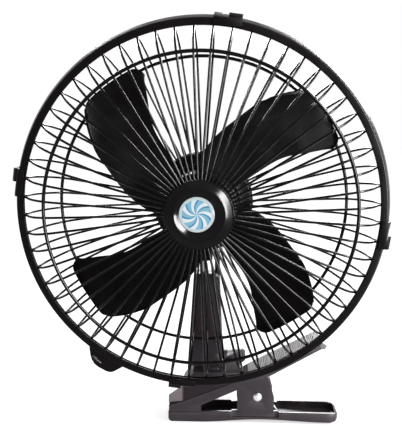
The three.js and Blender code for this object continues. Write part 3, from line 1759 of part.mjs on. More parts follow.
function clampSpring() {
  const s = spring;
  const path = springPath();
  const places = [];
  const faces = [];
  path.forEach((point, i) => {
    const before = path[Math.max(i - 1, 0)];
    const after = path[Math.min(i + 1, path.length - 1)];
    const tangent = after.clone().sub(before).normalize();
    const side = new THREE.Vector3(0, 1, 0).cross(tangent).normalize();
    const across = tangent.clone().cross(side);
    for (let j = 0; j < s.sides; j++) {
      const angle = (2 * Math.PI * j) / s.sides;
      const place = point
        .clone()
        .addScaledVector(side, s.wireRadius * Math.cos(angle))
        .addScaledVector(across, s.wireRadius * Math.sin(angle));
      places.push(place.x, place.y, place.z);
    }
  });
  for (let i = 0; i + 1 < path.length; i++) {
    for (let j = 0; j < s.sides; j++) {
      const k = (j + 1) % s.sides;
      const here = i * s.sides;
      const next = here + s.sides;
      faces.push(here + j, here + k, next + k, here + j, next + k, next + j);
    }
  }
  const last = (path.length - 1) * s.sides;
  for (let j = 1; j + 1 < s.sides; j++) {
    faces.push(0, j + 1, j, last, last + j, last + j + 1);
  }
  const apart = (p, i) => path.slice(i + s.stepsPerTurn / 2).map((q) => p.distanceTo(q));
  const turnsApart = path.flatMap(apart);
  console.log("clamp_spring least gap", (Math.min(...turnsApart) - 2 * s.wireRadius).toFixed(2), "mm");
  const geometry = new THREE.BufferGeometry();
  geometry.setAttribute("position", new THREE.BufferAttribute(new Float32Array(places), 3));
  geometry.setIndex(faces);
  return geometry;
}

// The head, in its own group at the hub
const head = new THREE.Group();
head.position.set(hub.x, hub.y, hub.z);
head.add(mesh("rim_band", rimBand(), black));
head.add(mesh("front_guard", frontGuard(), wireBlack));
head.add(mesh("rear_guard", rearGuard(), wireBlack));
for (const [name, degrees] of Object.entries(latch.degrees)) {
  head.add(mesh(name, rimLatch(degrees), black));
}
head.add(mesh("rim_loop", rimLoop(), black));
head.add(mesh("front_cap", frontCap(), softBlack));
head.add(mesh("badge", badgeDisc(), badgeBlue));
head.add(mesh("cap_clamp", capClamp(), black));
head.add(mesh("cap_screw", capScrew(), steel));
head.add(mesh("impeller", impellerBody(), softBlack));
head.add(mesh("hub_nut", hubNut(), softBlack));
head.add(mesh("motor_shaft", motorShaft(), steel));
head.add(mesh("motor_can", motorCan(), steel));
head.add(mesh("front_bearing", bearing(frontBearingDepth), brass));
head.add(mesh("rear_bearing", bearing(rearBearingDepth), brass));
head.add(mesh("motor_front", motorFront(), black));
head.add(mesh("motor_rear", motorRear(), black));
head.add(mesh("guard_nut", ringNut(), black));
head.add(mesh("worm", wormBody(), brass));
head.add(mesh("worm_wheel", wormWheel(), nylon));
head.add(mesh("spindle", spindleRod(), steel));
head.add(mesh("crank", crankArm(), steel));
head.add(mesh("link_arm", linkArm(), steel));
head.add(mesh("oscillation_knob", clutchKnob(), black));
head.add(mesh("switch_frame", switchFrame(), black));
head.add(mesh("speed_switch", speedSwitch(), softBlack));
head.add(mesh("cord_grommet", cordGrommet(), rubberBlack));
screwDegrees.forEach((degrees, i) => {
  head.add(mesh("housing_screw_" + (i + 1), housingScrewAt(degrees), steel));
});

// The neck, and the clamp that carries it
const stand = new THREE.Group();
stand.add(mesh("pivot_shaft", pivotShaft(), steel));
stand.add(mesh("neck_front", neckHalf(false), softBlack));
stand.add(mesh("neck_rear", neckHalf(true), softBlack));
["neck_screw_upper", "neck_screw_lower"].forEach((name, i) => {
  stand.add(mesh(name, neckScrewAt(neckScrewHeights[i]), steel));
});
stand.add(mesh("wing_screw", wingScrew(), steel));
stand.add(mesh("tilt_nut", tiltNutBody(), steel));
stand.add(mesh("base_block", baseBlock(), softBlack));
stand.add(mesh("upper_arm", upperArm(), softBlack));
stand.add(mesh("lower_arm", lowerArm(), black));
stand.add(mesh("upper_pad", jawPad(-1), rubberBlack));
stand.add(mesh("lower_pad", jawPad(1), rubberBlack));
stand.add(mesh("rivet", rivetBody(), steel));
stand.add(mesh("clamp_spring", clampSpring(), steel));
blockScrew.places.forEach((x, i) => {
  stand.add(mesh("block_screw_" + (i + 1), blockScrewAt(x), steel));
});

const fan = new THREE.Group();
fan.add(head, stand);
export default fan;
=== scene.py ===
"""Looks of a clip-on oscillating car fan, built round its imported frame.

Metres, +Z up, the fan blows towards -Y. Depth is measured along +Y from the middle of the rim, and
radius and degrees go round the fan's axis, with 0 degrees at +X and 90 at +Z.
"""

import json
import logging
import math
from collections.abc import Callable, Sequence
from dataclasses import dataclass, field
from enum import Enum

import bmesh
import bpy
from mathutils import Matrix, Vector


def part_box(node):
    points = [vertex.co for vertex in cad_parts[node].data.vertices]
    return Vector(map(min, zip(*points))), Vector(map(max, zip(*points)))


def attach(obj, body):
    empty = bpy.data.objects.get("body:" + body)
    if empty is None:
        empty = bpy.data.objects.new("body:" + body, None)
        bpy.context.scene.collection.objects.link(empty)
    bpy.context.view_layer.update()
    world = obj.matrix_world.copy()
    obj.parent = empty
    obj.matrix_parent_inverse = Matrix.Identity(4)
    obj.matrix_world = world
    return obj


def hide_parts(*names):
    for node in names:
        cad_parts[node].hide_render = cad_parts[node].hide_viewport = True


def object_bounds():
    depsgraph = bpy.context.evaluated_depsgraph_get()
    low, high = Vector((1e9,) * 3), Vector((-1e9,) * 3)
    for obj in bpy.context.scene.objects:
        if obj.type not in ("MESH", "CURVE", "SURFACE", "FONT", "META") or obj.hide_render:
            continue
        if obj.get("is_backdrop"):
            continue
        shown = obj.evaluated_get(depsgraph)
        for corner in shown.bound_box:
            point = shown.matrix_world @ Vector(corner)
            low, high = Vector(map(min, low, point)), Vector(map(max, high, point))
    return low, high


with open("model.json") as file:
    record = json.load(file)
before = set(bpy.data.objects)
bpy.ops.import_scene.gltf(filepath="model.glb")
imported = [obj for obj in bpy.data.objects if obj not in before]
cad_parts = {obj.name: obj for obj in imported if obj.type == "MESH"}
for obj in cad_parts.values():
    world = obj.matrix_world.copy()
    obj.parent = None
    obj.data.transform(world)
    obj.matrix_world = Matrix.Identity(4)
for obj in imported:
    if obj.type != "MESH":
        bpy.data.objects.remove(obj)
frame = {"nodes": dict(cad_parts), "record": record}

log = logging.getLogger("car_fan")
MM = 0.001
TURN = 2 * math.pi
MERGE = 1e-6  # points nearer than this are one point
BUMP_DEPTH = 0.1 * MM  # height of the finishes' grain
LARGEST_SHARE = 0.49  # how much of a side one rounded corner may take
FLATNESS = math.radians(0.8)  # faces of a copy that meet at less are joined
RIM_HALF_WIDTH = 4.6 * MM
Outline = Sequence[tuple[float, float]]
BODY_OF = {
    node: body
    for body, nodes in frame["record"]["behaviour"]["bodies"].items()
    for node in nodes
}


def hub_centre() -> Vector:
    """Finds the point of the fan's axis in the middle of the rim, read from the frame.

    Returns:
        The point.
    """
    low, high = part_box("motor_shaft")
    rim_low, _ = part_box("rim_band")
    return Vector(((low.x + high.x) / 2, rim_low.y + RIM_HALF_WIDTH, (low.z + high.z) / 2))


HUB = hub_centre()


class Slot(Enum):
    """Material slots of the record."""

    BLACK_PLASTIC = "black_plastic"
    SATIN_PLASTIC = "satin_plastic"
    BLADE_PLASTIC = "blade_plastic"
    BLACK_WIRE = "black_wire"
    BLACK_RUBBER = "black_rubber"
    BRIGHT_STEEL = "bright_steel"
    DULL_STEEL = "dull_steel"
    BRONZE = "bronze"
    NYLON = "nylon"
    BADGE_FACE = "badge_face"


class Side(Enum):
    """The two guards."""

    FRONT = "front_guard"
    REAR = "rear_guard"


class Light(Enum):
    """What a lamp gives: plain light with its reflection, the light alone or the reflection alone."""

    PLAIN = "plain"
    FILL = "fill"
    GLEAM = "gleam"


# Shader node groups shared by the finishes


class NodeBoard:
    """A node tree with short calls to add and join nodes."""

    def __init__(self, tree: bpy.types.NodeTree) -> None:
        """Takes the tree to work on."""
        self.tree = tree

    def add(self, kind: str, **settings: object) -> bpy.types.Node:
        """Adds a node.

        Args:
            kind: the node's type name.
            **settings: attributes of the node, such as its operation.

        Returns:
            The new node.
        """
        node = self.tree.nodes.new(kind)
        for name, value in settings.items():
            setattr(node, name, value)
        return node

    def join(self, source: bpy.types.NodeSocket, target: bpy.types.NodeSocket) -> None:
        """Links an output to an input."""
        self.tree.links.new(source, target)

    def feed(self, target: bpy.types.NodeSocket, value: object) -> None:
        """Links a socket into the target, or sets the target's value.

        Args:
            target: the input to feed.
            value: an output socket, a number or a colour.
        """
        if isinstance(value, bpy.types.NodeSocket):
            self.join(value, target)
        else:
            target.default_value = value

    def math(self, operation: str, *values: object, clamp: bool = False) -> bpy.types.NodeSocket:
        """Adds a Math node.

        Args:
            operation: the node's operation.
            *values: numbers or output sockets, in the order of the inputs.
            clamp: whether the result is kept between 0 and 1.

        Returns:
            The result's socket.
        """
        node = self.add("ShaderNodeMath", operation=operation, use_clamp=clamp)
        for socket, value in zip(node.inputs, values):
            self.feed(socket, value)
        return node.outputs[0]

    def noise(self, place: object, scale: object, detail: float = 2.0) -> bpy.types.NodeSocket:
        """Adds a noise over the surface, with values about 0.5.

        Args:
            place: the coordinates' socket.
            scale: the noise's scale, a number or a socket.
            detail: the noise's detail.

        Returns:
            The result's socket.
        """
        node = self.add("ShaderNodeTexNoise")
        self.feed(node.inputs["Vector"], place)
        self.feed(node.inputs["Scale"], scale)
        node.inputs["Detail"].default_value = detail
        return node.outputs["Fac"]

    def spread(self, value: object, low: object, high: object) -> bpy.types.NodeSocket:
        """Carries 0.3 to 0.7 of a noise to the range from low to high.

        Args:
            value: the noise's socket.
            low: what 0.3 becomes, a number or a socket.
            high: what 0.7 becomes, a number or a socket.

        Returns:
            The result's socket.
        """
        node = self.add("ShaderNodeMapRange")
        self.feed(node.inputs["Value"], value)
        node.inputs["From Min"].default_value = 0.3
        node.inputs["From Max"].default_value = 0.7
        self.feed(node.inputs["To Min"], low)
        self.feed(node.inputs["To Max"], high)
        return node.outputs["Result"]

    def blend(self, share: object, first: object, second: object) -> bpy.types.NodeSocket:
        """Mixes two colours.

        Args:
            share: the second colour's share, a number or a socket.
            first: the first colour, or its socket.
            second: the second colour, or its socket.

        Returns:
            The result's socket.
        """
        node = self.add("ShaderNodeMix", data_type="RGBA")
        self.feed(node.inputs["Factor"], share)
        self.feed(node.inputs[6], first)
        self.feed(node.inputs[7], second)
        return node.outputs[2]


def open_group(name: str, inputs: dict[str, float | tuple], outputs: dict[str, str]) -> tuple:
    """Starts a shader node group.

    Args:
        name: the group's name.
        inputs: each input's name and first value, a number or a colour.
        outputs: each output's name and socket type.

    Returns:
        The group, its board, the group input node and the group output node.
    """
    group = bpy.data.node_groups.new(name, "ShaderNodeTree")
    for label, value in inputs.items():
        kind = "NodeSocketFloat" if isinstance(value, (int, float)) else "NodeSocketColor"
        socket = group.interface.new_socket(label, in_out="INPUT", socket_type=kind)
        socket.default_value = value
    for label, kind in outputs.items():
        group.interface.new_socket(label, in_out="OUTPUT", socket_type=kind)
    board = NodeBoard(group)
    return group, board, board.add("NodeGroupInput"), board.add("NodeGroupOutput")


def moulded_skin() -> bpy.types.NodeTree:
    """Surface of moulded plastic: fine grain, cloudy gloss and a haze of dust on what faces up.

    Returns:
        The node group.
    """
    group, board, given, result = open_group(
        "moulded_skin",
        {
            "Tint": (0.03, 0.03, 0.03, 1),
            "Dust": (0.2, 0.19, 0.19, 1),
            "Dust Share": 0.06,
            "Roughness": 0.4,
            "Gloss Spread": 0.06,
            "Grain Scale": 2500.0,
        },
        {"Color": "NodeSocketColor", "Roughness": "NodeSocketFloat", "Height": "NodeSocketFloat"},
    )
    place = board.add("ShaderNodeTexCoord").outputs["Object"]
    cloud = board.noise(place, scale=55.0, detail=3.0)
    grain = board.noise(place, given.outputs["Grain Scale"], detail=1.0)
    normal = board.add("ShaderNodeSeparateXYZ")
    board.join(board.add("ShaderNodeNewGeometry").outputs["Normal"], normal.inputs[0])
    patches = board.spread(cloud, low=0.3, high=1.0)
    upward = board.math("MULTIPLY", normal.outputs["Z"], patches, clamp=True)
    dust = board.math("MULTIPLY", upward, given.outputs["Dust Share"])
    shade = board.spread(cloud, low=0.88, high=1.12)
    toned = board.add("ShaderNodeMix", data_type="RGBA", blend_type="MULTIPLY")
    toned.inputs["Factor"].default_value = 1.0
    board.join(given.outputs["Tint"], toned.inputs[6])
    board.join(shade, toned.inputs[7])
    board.join(board.blend(dust, toned.outputs[2], given.outputs["Dust"]), result.inputs["Color"])
    spread = given.outputs["Gloss Spread"]
    uneven = board.spread(cloud, low=board.math("MULTIPLY", spread, -1.0), high=spread)
    base = board.math("ADD", given.outputs["Roughness"], uneven)
    board.join(board.math("ADD", base, dust, clamp=True), result.inputs["Roughness"])
    board.join(grain, result.inputs["Height"])
    return group


def worked_metal() -> bpy.types.NodeTree:
    """Surface of plated or turned metal: fine lines along one axis and a cloudy tarnish.

    Returns:
        The node group.
    """
    group, board, given, result = open_group(
        "worked_metal",
        {
            "Tint": (0.6, 0.6, 0.62, 1),
            "Tarnish": (0.3, 0.29, 0.28, 1),
            "Tarnish Share": 0.25,
            "Roughness": 0.25,
            "Line Scale": 900.0,
        },
        {"Color": "NodeSocketColor", "Roughness": "NodeSocketFloat", "Height": "NodeSocketFloat"},
    )
    place = board.add("ShaderNodeTexCoord").outputs["Object"]
    stretch = board.add("ShaderNodeMapping")
    stretch.inputs["Scale"].default_value = (1.0, 1.0, 0.06)
    board.join(place, stretch.inputs["Vector"])
    lines = board.noise(stretch.outputs[0], given.outputs["Line Scale"])
    cloud = board.noise(place, scale=180.0, detail=3.0)
    patches = board.spread(cloud, low=0.0, high=1.0)
    share = board.math("MULTIPLY", patches, given.outputs["Tarnish Share"])
    colour = board.blend(share, given.outputs["Tint"], given.outputs["Tarnish"])
    board.join(colour, result.inputs["Color"])
    streaks = board.spread(lines, low=-0.05, high=0.09)
    rough = board.math("ADD", given.outputs["Roughness"], streaks)
    board.join(board.math("ADD", rough, share, clamp=True), result.inputs["Roughness"])
    board.join(lines, result.inputs["Height"])
    return group


GROUPS: dict[str, bpy.types.NodeTree] = {}


def shared_group(make: Callable[[], bpy.types.NodeTree]) -> bpy.types.NodeTree:
    """Gives the node group that a maker function builds, made once.

    Args:
        make: the maker function.

    Returns:
        The node group.
    """
    name = make.__name__
    if name not in GROUPS:
        GROUPS[name] = make()
    return GROUPS[name]


# Finishes


@dataclass(frozen=True)
class Finish:
    """What every finish has: its name, its slot in the record and the numbers of its shader."""

    name: str
    slot: Slot
    tint: tuple[float, float, float]
    roughness: float
    bump: float = 0.02
    specular: float = 0.3

    def start(self) -> tuple[bpy.types.Material, NodeBoard, bpy.types.Node]:
        """Makes the material with its shader.

        Returns:
            The material, its board and its Principled BSDF.
        """
        material = bpy.data.materials.new(self.name)
        material.use_nodes = True
        board = NodeBoard(material.node_tree)
        shader = material.node_tree.nodes["Principled BSDF"]
        shader.inputs["Specular IOR Level"].default_value = self.specular
        return material, board, shader

    def dress(self, board: NodeBoard, shader: bpy.types.Node, source: bpy.types.Node) -> None:
        """Feeds a group's colour, roughness and height to the shader.

        Args:
            board: the material's board.
            shader: its Principled BSDF.
            source: the group's node.
        """
        bump = board.add("ShaderNodeBump")
        bump.inputs["Strength"].default_value = self.bump
        bump.inputs["Distance"].default_value = BUMP_DEPTH
        board.join(source.outputs["Height"], bump.inputs["Height"])
        board.join(source.outputs["Color"], shader.inputs["Base Color"])
        board.join(source.outputs["Roughness"], shader.inputs["Roughness"])
        board.join(bump.outputs["Normal"], shader.inputs["Normal"])

    def material(self) -> bpy.types.Material:
        """The finished material, made once."""
        return bpy.data.materials.get(self.name) or self.build()

    def build(self) -> bpy.types.Material:
        """Builds the material. Each kind of finish has its own."""
        raise NotImplementedError


@dataclass(frozen=True)
class Moulding(Finish):
    """Moulded plastic or rubber."""

    dust: float = 0.06
    spread: float = 0.05
    grain: float = 2500.0

    def build(self) -> bpy.types.Material:
        """Builds the material on the moulded_skin group.

        Returns:
            The material.
        """
        material, board, shader = self.start()
        skin = board.add("ShaderNodeGroup", node_tree=shared_group(moulded_skin))
        skin.inputs["Tint"].default_value = (*self.tint, 1)
        skin.inputs["Dust Share"].default_value = self.dust
        skin.inputs["Roughness"].default_value = self.roughness
        skin.inputs["Gloss Spread"].default_value = self.spread
        skin.inputs["Grain Scale"].default_value = self.grain
        self.dress(board, shader, skin)
        return material


@dataclass(frozen=True)
class Metal(Finish):
    """Plated, turned or sintered metal."""

    tarnish: float = 0.25
    tarnish_tone: float = 0.5

    def build(self) -> bpy.types.Material:
        """Builds the material on the worked_metal group.

        Returns:
            The material.
        """
        material, board, shader = self.start()
        shader.inputs["Metallic"].default_value = 1.0
        work = board.add("ShaderNodeGroup", node_tree=shared_group(worked_metal))
        work.inputs["Tint"].default_value = (*self.tint, 1)
        tarnish = (self.tarnish_tone * part for part in self.tint)
        work.inputs["Tarnish"].default_value = (*tarnish, 1)
        work.inputs["Tarnish Share"].default_value = self.tarnish
        work.inputs["Roughness"].default_value = self.roughness
        self.dress(board, shader, work)
        return material


@dataclass(frozen=True)
class PrintedDisc(Finish):
    """Glossy disc with a pinwheel of curved vanes in pale blue and blue on white."""

    vanes: int = 7
    curl: float = 95.0
    vane_share: float = 0.52
    vein_share: float = 0.09
    print_radius: float = 9.4 * MM
    speckle_scale: float = 400.0
    roughness_spread: tuple[float, float] = (-0.05, 0.06)
    coat: float = 0.6
    coat_roughness: float = 0.06
    white: tuple[float, float, float] = (0.86, 0.95, 0.98)
    pale: tuple[float, float, float] = (0.22, 0.54, 0.74)
    deep: tuple[float, float, float] = (0.015, 0.28, 0.6)
    centre: tuple[float, float, float] = (0.0, 0.0, 0.0)

    def build(self) -> bpy.types.Material:
        """Builds the pinwheel from the radius and the angle about the disc's middle.

        Returns:
            The material.
        """
        material, board, shader = self.start()
        shader.inputs["Coat Weight"].default_value = self.coat
        shader.inputs["Coat Roughness"].default_value = self.coat_roughness
        shift = board.add("ShaderNodeMapping", vector_type="POINT")
        shift.inputs["Location"].default_value = tuple(-part for part in self.centre)
        board.join(board.add("ShaderNodeTexCoord").outputs["Object"], shift.inputs["Vector"])
        axes = board.add("ShaderNodeSeparateXYZ")
        board.join(shift.outputs[0], axes.inputs[0])
        across, up = axes.outputs["X"], axes.outputs["Z"]
        squares = board.math("ADD", board.math("POWER", across, 2.0), board.math("POWER", up, 2.0))
        radius = board.math("SQRT", squares)
        angle = board.math("DIVIDE", board.math("ARCTAN2", up, across), TURN)
        turned = board.math("ADD", angle, board.math("MULTIPLY", radius, self.curl / self.vanes))
        phase = board.math("FRACT", board.math("MULTIPLY", turned, float(self.vanes)))
        vane = board.math("LESS_THAN", phase, self.vane_share)
        past_vane = board.math("SUBTRACT", phase, self.vane_share)
        vein = board.math("LESS_THAN", board.math("ABSOLUTE", past_vane), self.vein_share)
        inside = board.math("LESS_THAN", radius, self.print_radius)
        pale = board.blend(vane, (*self.white, 1), (*self.pale, 1))
        drawn = board.blend(vein, pale, (*self.deep, 1))
        face = board.blend(inside, (*self.tint, 1), drawn)
        board.join(face, shader.inputs["Base Color"])
        speckle = board.noise(shift.outputs[0], self.speckle_scale)
        low, high = (self.roughness + part for part in self.roughness_spread)
        board.join(board.spread(speckle, low, high), shader.inputs["Roughness"])
        return material


SATIN = Moulding("satin_black", Slot.SATIN_PLASTIC, (0.046, 0.0345, 0.043), 0.42, specular=0.22)
# painted light: a light grey tint standing in for the light that falls on the block's nose sides
NOSE_PAINTED_LIGHT = Moulding("nose_painted_light", Slot.SATIN_PLASTIC, (0.31, 0.258, 0.28), 0.45, specular=0.35)
SHELF = Moulding("shaded_black", Slot.SATIN_PLASTIC, (0.036, 0.027, 0.033), 0.6, specular=0.015)
# partly painted sheen: the comb's tint is lighter than the arm's black to stand in for the light on the
# handle's top; its gloss is real
COMB_SHEEN = Moulding("comb_painted_sheen", Slot.SATIN_PLASTIC, (0.066, 0.048, 0.058), 0.38, specular=0.4)
# painted shade: a darker tint for the grip's hollow, where shade falls; its lower roughness is real gloss
HOLLOW_SHADE = Moulding("hollow_painted_shade", Slot.SATIN_PLASTIC, (0.014, 0.0085, 0.012), 0.24, specular=0.12)
# painted highlight: a lighter tint on the tops of the grip's walls, standing in for the light they catch;
# its gloss is real
EDGE = Moulding("wall_top_painted_highlight", Slot.SATIN_PLASTIC, (0.1, 0.085, 0.093), 0.24, specular=0.6)
# painted highlight: a light grey tint on the black bar at the handle's end, standing in for its
# highlight; its gloss is real
ROLL = Moulding("roll_painted_highlight", Slot.SATIN_PLASTIC, (0.26, 0.24, 0.25), 0.22, specular=0.9)
BODY = Moulding("body_black", Slot.SATIN_PLASTIC, (0.0235, 0.0145, 0.021), 0.38, specular=0.17)
HOOP = Moulding("hoop_black", Slot.BLACK_PLASTIC, (0.0045, 0.0026, 0.0038), 0.32, specular=0.055)
GLOSS = Moulding("gloss_black", Slot.BLACK_PLASTIC, (0.003, 0.002, 0.0028), 0.16, specular=0.075)
BLADE = Moulding("blade_black", Slot.BLADE_PLASTIC, (0.0022, 0.0012, 0.002), 0.28, specular=0.04)
WIRE = Moulding(
    "coated_wire", Slot.BLACK_WIRE, (0.0014, 0.001, 0.0014), 0.17, specular=0.09, dust=0.0
)
RUBBER = Moulding(
    "matt_rubber", Slot.BLACK_RUBBER, (0.018, 0.017, 0.018), 0.75, bump=0.15, dust=0.1
)
NYLON = Moulding("natural_nylon", Slot.NYLON, (0.72, 0.69, 0.6), 0.5, dust=0.0)
BRIGHT = Metal("bright_plate", Slot.BRIGHT_STEEL, (0.66, 0.66, 0.68), 0.2)
GREYED = Metal("greyed_plate", Slot.BRIGHT_STEEL, (0.042, 0.039, 0.043), 0.22)
DULL = Metal("zinc_plate", Slot.DULL_STEEL, (0.44, 0.44, 0.46), 0.34)
BRONZE = Metal("sintered_bronze", Slot.BRONZE, (0.6, 0.42, 0.2), 0.4)


# Mesh tools


def around(degrees: float) -> Matrix:
    """Turns a shape made at 0 degrees of the fan's axis to its place."""
    return Matrix.Rotation(-math.radians(degrees), 4, "Y")


def rounded(
    points: Outline, radii: Sequence[float], steps: int = 5, closed: bool = False
) -> Outline:
    """Rounds corners of an outline.

    Args:
        points: the outline's corners.
        radii: for each corner, how far along its sides its rounding reaches.
        steps: the number of pieces in each rounding.
        closed: whether the last corner is joined to the first.

    Returns:
        The outline with its corners rounded.
    """
    result = []
    count = len(points)
    for index, (point, reach) in enumerate(zip(points, radii)):
        if reach == 0.0 or (not closed and index in (0, count - 1)):
            result.append(point)
            continue
        here = Vector(point)
        before = Vector(points[index - 1]) - here
        after = Vector(points[(index + 1) % count]) - here
        start = here + before.normalized() * min(reach, before.length * LARGEST_SHARE)
        end = here + after.normalized() * min(reach, after.length * LARGEST_SHARE)
        for step in range(steps + 1):
            t = step / steps
            bent = start * (1 - t) ** 2 + here * 2 * t * (1 - t) + end * t**2
            result.append((bent.x, bent.y))
    return result


def draw_ring(bm: bmesh.types.BMesh, places: Sequence[Sequence[float]]) -> list[bmesh.types.BMEdge]:
    """Draws a closed ring of edges through some places."""
    verts = [bm.verts.new(place) for place in places]
    return [bm.edges.new(pair) for pair in zip(verts, verts[1:] + verts[:1])]


def extrude(bm: bmesh.types.BMesh, faces: list[bmesh.types.BMFace], reach: Sequence[float]) -> None:
    """Extrudes faces along a vector.

    Args:
        bm: the mesh that holds the faces.
        faces: the faces.
        reach: the vector.
    """
    grown = bmesh.ops.extrude_face_region(bm, geom=faces)["geom"]
    moved = [part for part in grown if isinstance(part, bmesh.types.BMVert)]
    bmesh.ops.translate(bm, verts=moved, vec=reach)


def spin_round(bm: bmesh.types.BMesh, geom: list, steps: int) -> None:
    """Spins points and edges right round the fan's axis, in a number of pieces."""
    bmesh.ops.spin(
        bm, geom=geom, cent=(0, 0, 0), axis=(0, 1, 0), angle=TURN, steps=steps, use_merge=True
    )


def turn_outline(bm: bmesh.types.BMesh, outline: Outline, steps: int, closed: bool = True) -> None:
    """Spins an outline right round the fan's axis.

    Args:
        bm: the mesh to add to.
        outline: pairs of radius and depth.
        steps: the number of pieces round the turn.
        closed: whether the outline's last point is joined to its first.
    """
    verts = [bm.verts.new((radius, depth, 0.0)) for radius, depth in outline]
    ends = verts[1:] + ([verts[0]] if closed else [])
    edges = [bm.edges.new(pair) for pair in zip(verts, ends)]
    spin_round(bm, verts + edges, steps)


def sweep(bm: bmesh.types.BMesh, path: Sequence[Vector], radius: float, sides: int) -> None:
    """Draws a round wire along a path that stays in one plane through the fan's axis.

    Args:
        bm: the mesh to add to.
        path: the points that the wire's middle follows.
        radius: the wire's radius.
        sides: the number of sides of its section.
    """
    side = Vector((0, 0, 1))

    def station(index: int) -> Matrix:
        """Finds where the section stands at a point of the path.

        Args:
            index: the point's place in the path.

        Returns:
            The section's place, turned square to the path.
        """
        before = path[max(index - 1, 0)]
        after = path[min(index + 1, len(path) - 1)]
        along = (after - before).normalized()
        basis = Matrix((side.cross(along), side, along)).transposed().to_4x4()
        return Matrix.Translation(path[index]) @ basis

    here = station(0)
    made = bmesh.ops.create_circle(bm, cap_ends=True, segments=sides, radius=radius, matrix=here)
    ring = list(dict.fromkeys(edge for vert in made["verts"] for edge in vert.link_edges))
    for index in range(1, len(path)):
        grown = bmesh.ops.extrude_edge_only(bm, edges=ring)["geom"]
        ahead = station(index)
        verts = [part for part in grown if isinstance(part, bmesh.types.BMVert)]
        bmesh.ops.transform(bm, matrix=ahead @ here.inverted(), verts=verts)
        fresh = set(verts)
        ring = [
            part
            for part in grown
            if isinstance(part, bmesh.types.BMEdge) and fresh.issuperset(part.verts)
        ]
        here = ahead
    bmesh.ops.contextual_create(bm, geom=ring)


def repeat_round(bm: bmesh.types.BMesh, copies: int) -> None:
    """Repeats what the mesh holds evenly round the fan's axis.

    Args:
        bm: the mesh.
        copies: how many there are in all.
    """
    bmesh.ops.spin(
        bm,
        geom=bm.verts[:] + bm.edges[:] + bm.faces[:],
        cent=(0, 0, 0),
        axis=(0, 1, 0),
        angle=TURN * (copies - 1) / copies,
        steps=copies - 1,
        use_duplicate=True,
    )


def sharp_edges(bm: bmesh.types.BMesh, degrees: float) -> list[bmesh.types.BMEdge]:
    """The edges whose faces meet at more than an angle."""
    limit = math.radians(degrees)
    return [e for e in bm.edges if len(e.link_faces) == 2 and e.calc_face_angle(0.0) > limit]


@dataclass
class Piece:
    """A visible piece on its way into the scene."""

    name: str
    nodes: tuple[str, ...]
    finish: Finish
    smooth: float = 35.0
    body: str = field(init=False)

    def __post_init__(self) -> None:
        """Looks up the body that carries the first node."""
        self.body = BODY_OF[self.nodes[0]]

    def settle(
        self, bm: bmesh.types.BMesh, place: Matrix | None = None, outward: bool = True
    ) -> bpy.types.Object:
        """Turns a bmesh into the finished object.

        Args:
            bm: the mesh, which is freed.
            place: where the shape goes.
            outward: whether the faces are turned to point outwards.

        Returns:
            The object, which rides on its body and stands for its nodes.
        """
        if place is not None:
            bmesh.ops.transform(bm, matrix=place, verts=bm.verts)
        if outward:
            bmesh.ops.remove_doubles(bm, verts=bm.verts, dist=MERGE)
            bmesh.ops.recalc_face_normals(bm, faces=bm.faces)
        mesh = bpy.data.meshes.new(self.name)
        bm.to_mesh(mesh)
        bm.free()
        mesh.shade_smooth()
        mesh.set_sharp_from_angle(angle=math.radians(self.smooth))
        made = bpy.data.objects.new(self.name, mesh)
        bpy.context.scene.collection.objects.link(made)
        mesh.materials.append(self.finish.material())
        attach(made, self.body)
        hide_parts(*self.nodes)
        log.info("%s rides on %s, %d faces", self.name, self.body, len(mesh.polygons))
        return made


def soften(bm: bmesh.types.BMesh, edge: float, sharp: float = 40.0, segments: int = 2) -> None:
    """Bevels the sharp edges of a mesh.

    Args:
        bm: the mesh.
        edge: how far the softening reaches from each sharp edge, in millimetres.
        sharp: edges above this angle in degrees are softened.
        segments: pieces across each softened edge.
    """
    bmesh.ops.bevel(
        bm,
        geom=sharp_edges(bm, sharp),
        offset=edge * MM,
        offset_type="OFFSET",
        affect="EDGES",
        segments=segments,
        profile=0.5,
        clamp_overlap=True,
        material=-1,
    )


def cut_above(
    bm: bmesh.types.BMesh, point: Vector, normal: Vector, from_x: float = -math.inf
) -> None:
    """Cuts off what stands above a plane and closes the cut.

    Args:
        bm: the mesh, still in triangles.
        point: a point of the plane.
        normal: the plane's direction, towards what is cut off.
        from_x: only triangles that reach beyond this place along X are cut.
    """
    high = [v for v in bm.verts if v.co.x > from_x and (v.co - point).dot(normal) > MERGE]
    # Keys keep their order, where a set would cut in another order on each run.
    faces = dict.fromkeys(face for vert in high for face in vert.link_faces)
    edges = dict.fromkeys(edge for face in faces for edge in face.edges)
    verts = dict.fromkeys(vert for face in faces for vert in face.verts)
    bmesh.ops.bisect_plane(
        bm,
        geom=[*verts, *edges, *faces],
        dist=MERGE,
        plane_co=point,
        plane_no=normal,
        clear_outer=True,
    )
    bmesh.ops.holes_fill(bm, edges=[edge for edge in bm.edges if edge.is_boundary], sides=0)


def copy_node(node: str) -> bmesh.types.BMesh:
    """Copies a node's triangles and merges their corners.

    Args:
        node: the node's name.

    Returns:
        The copy.
    """
    bm = bmesh.new()
    bm.from_mesh(frame["nodes"][node].data)
    bmesh.ops.remove_doubles(bm, verts=bm.verts, dist=2 * MERGE)
    return bm


def add_mesh(bm: bmesh.types.BMesh, part: bmesh.types.BMesh) -> None:
    """Adds one mesh to another.

    Args:
        bm: the mesh that grows.
        part: the added mesh, which is freed.
    """
    carrier = bpy.data.meshes.new("carrier")
    part.to_mesh(carrier)
    part.free()
    bm.from_mesh(carrier)
    bpy.data.meshes.remove(carrier)


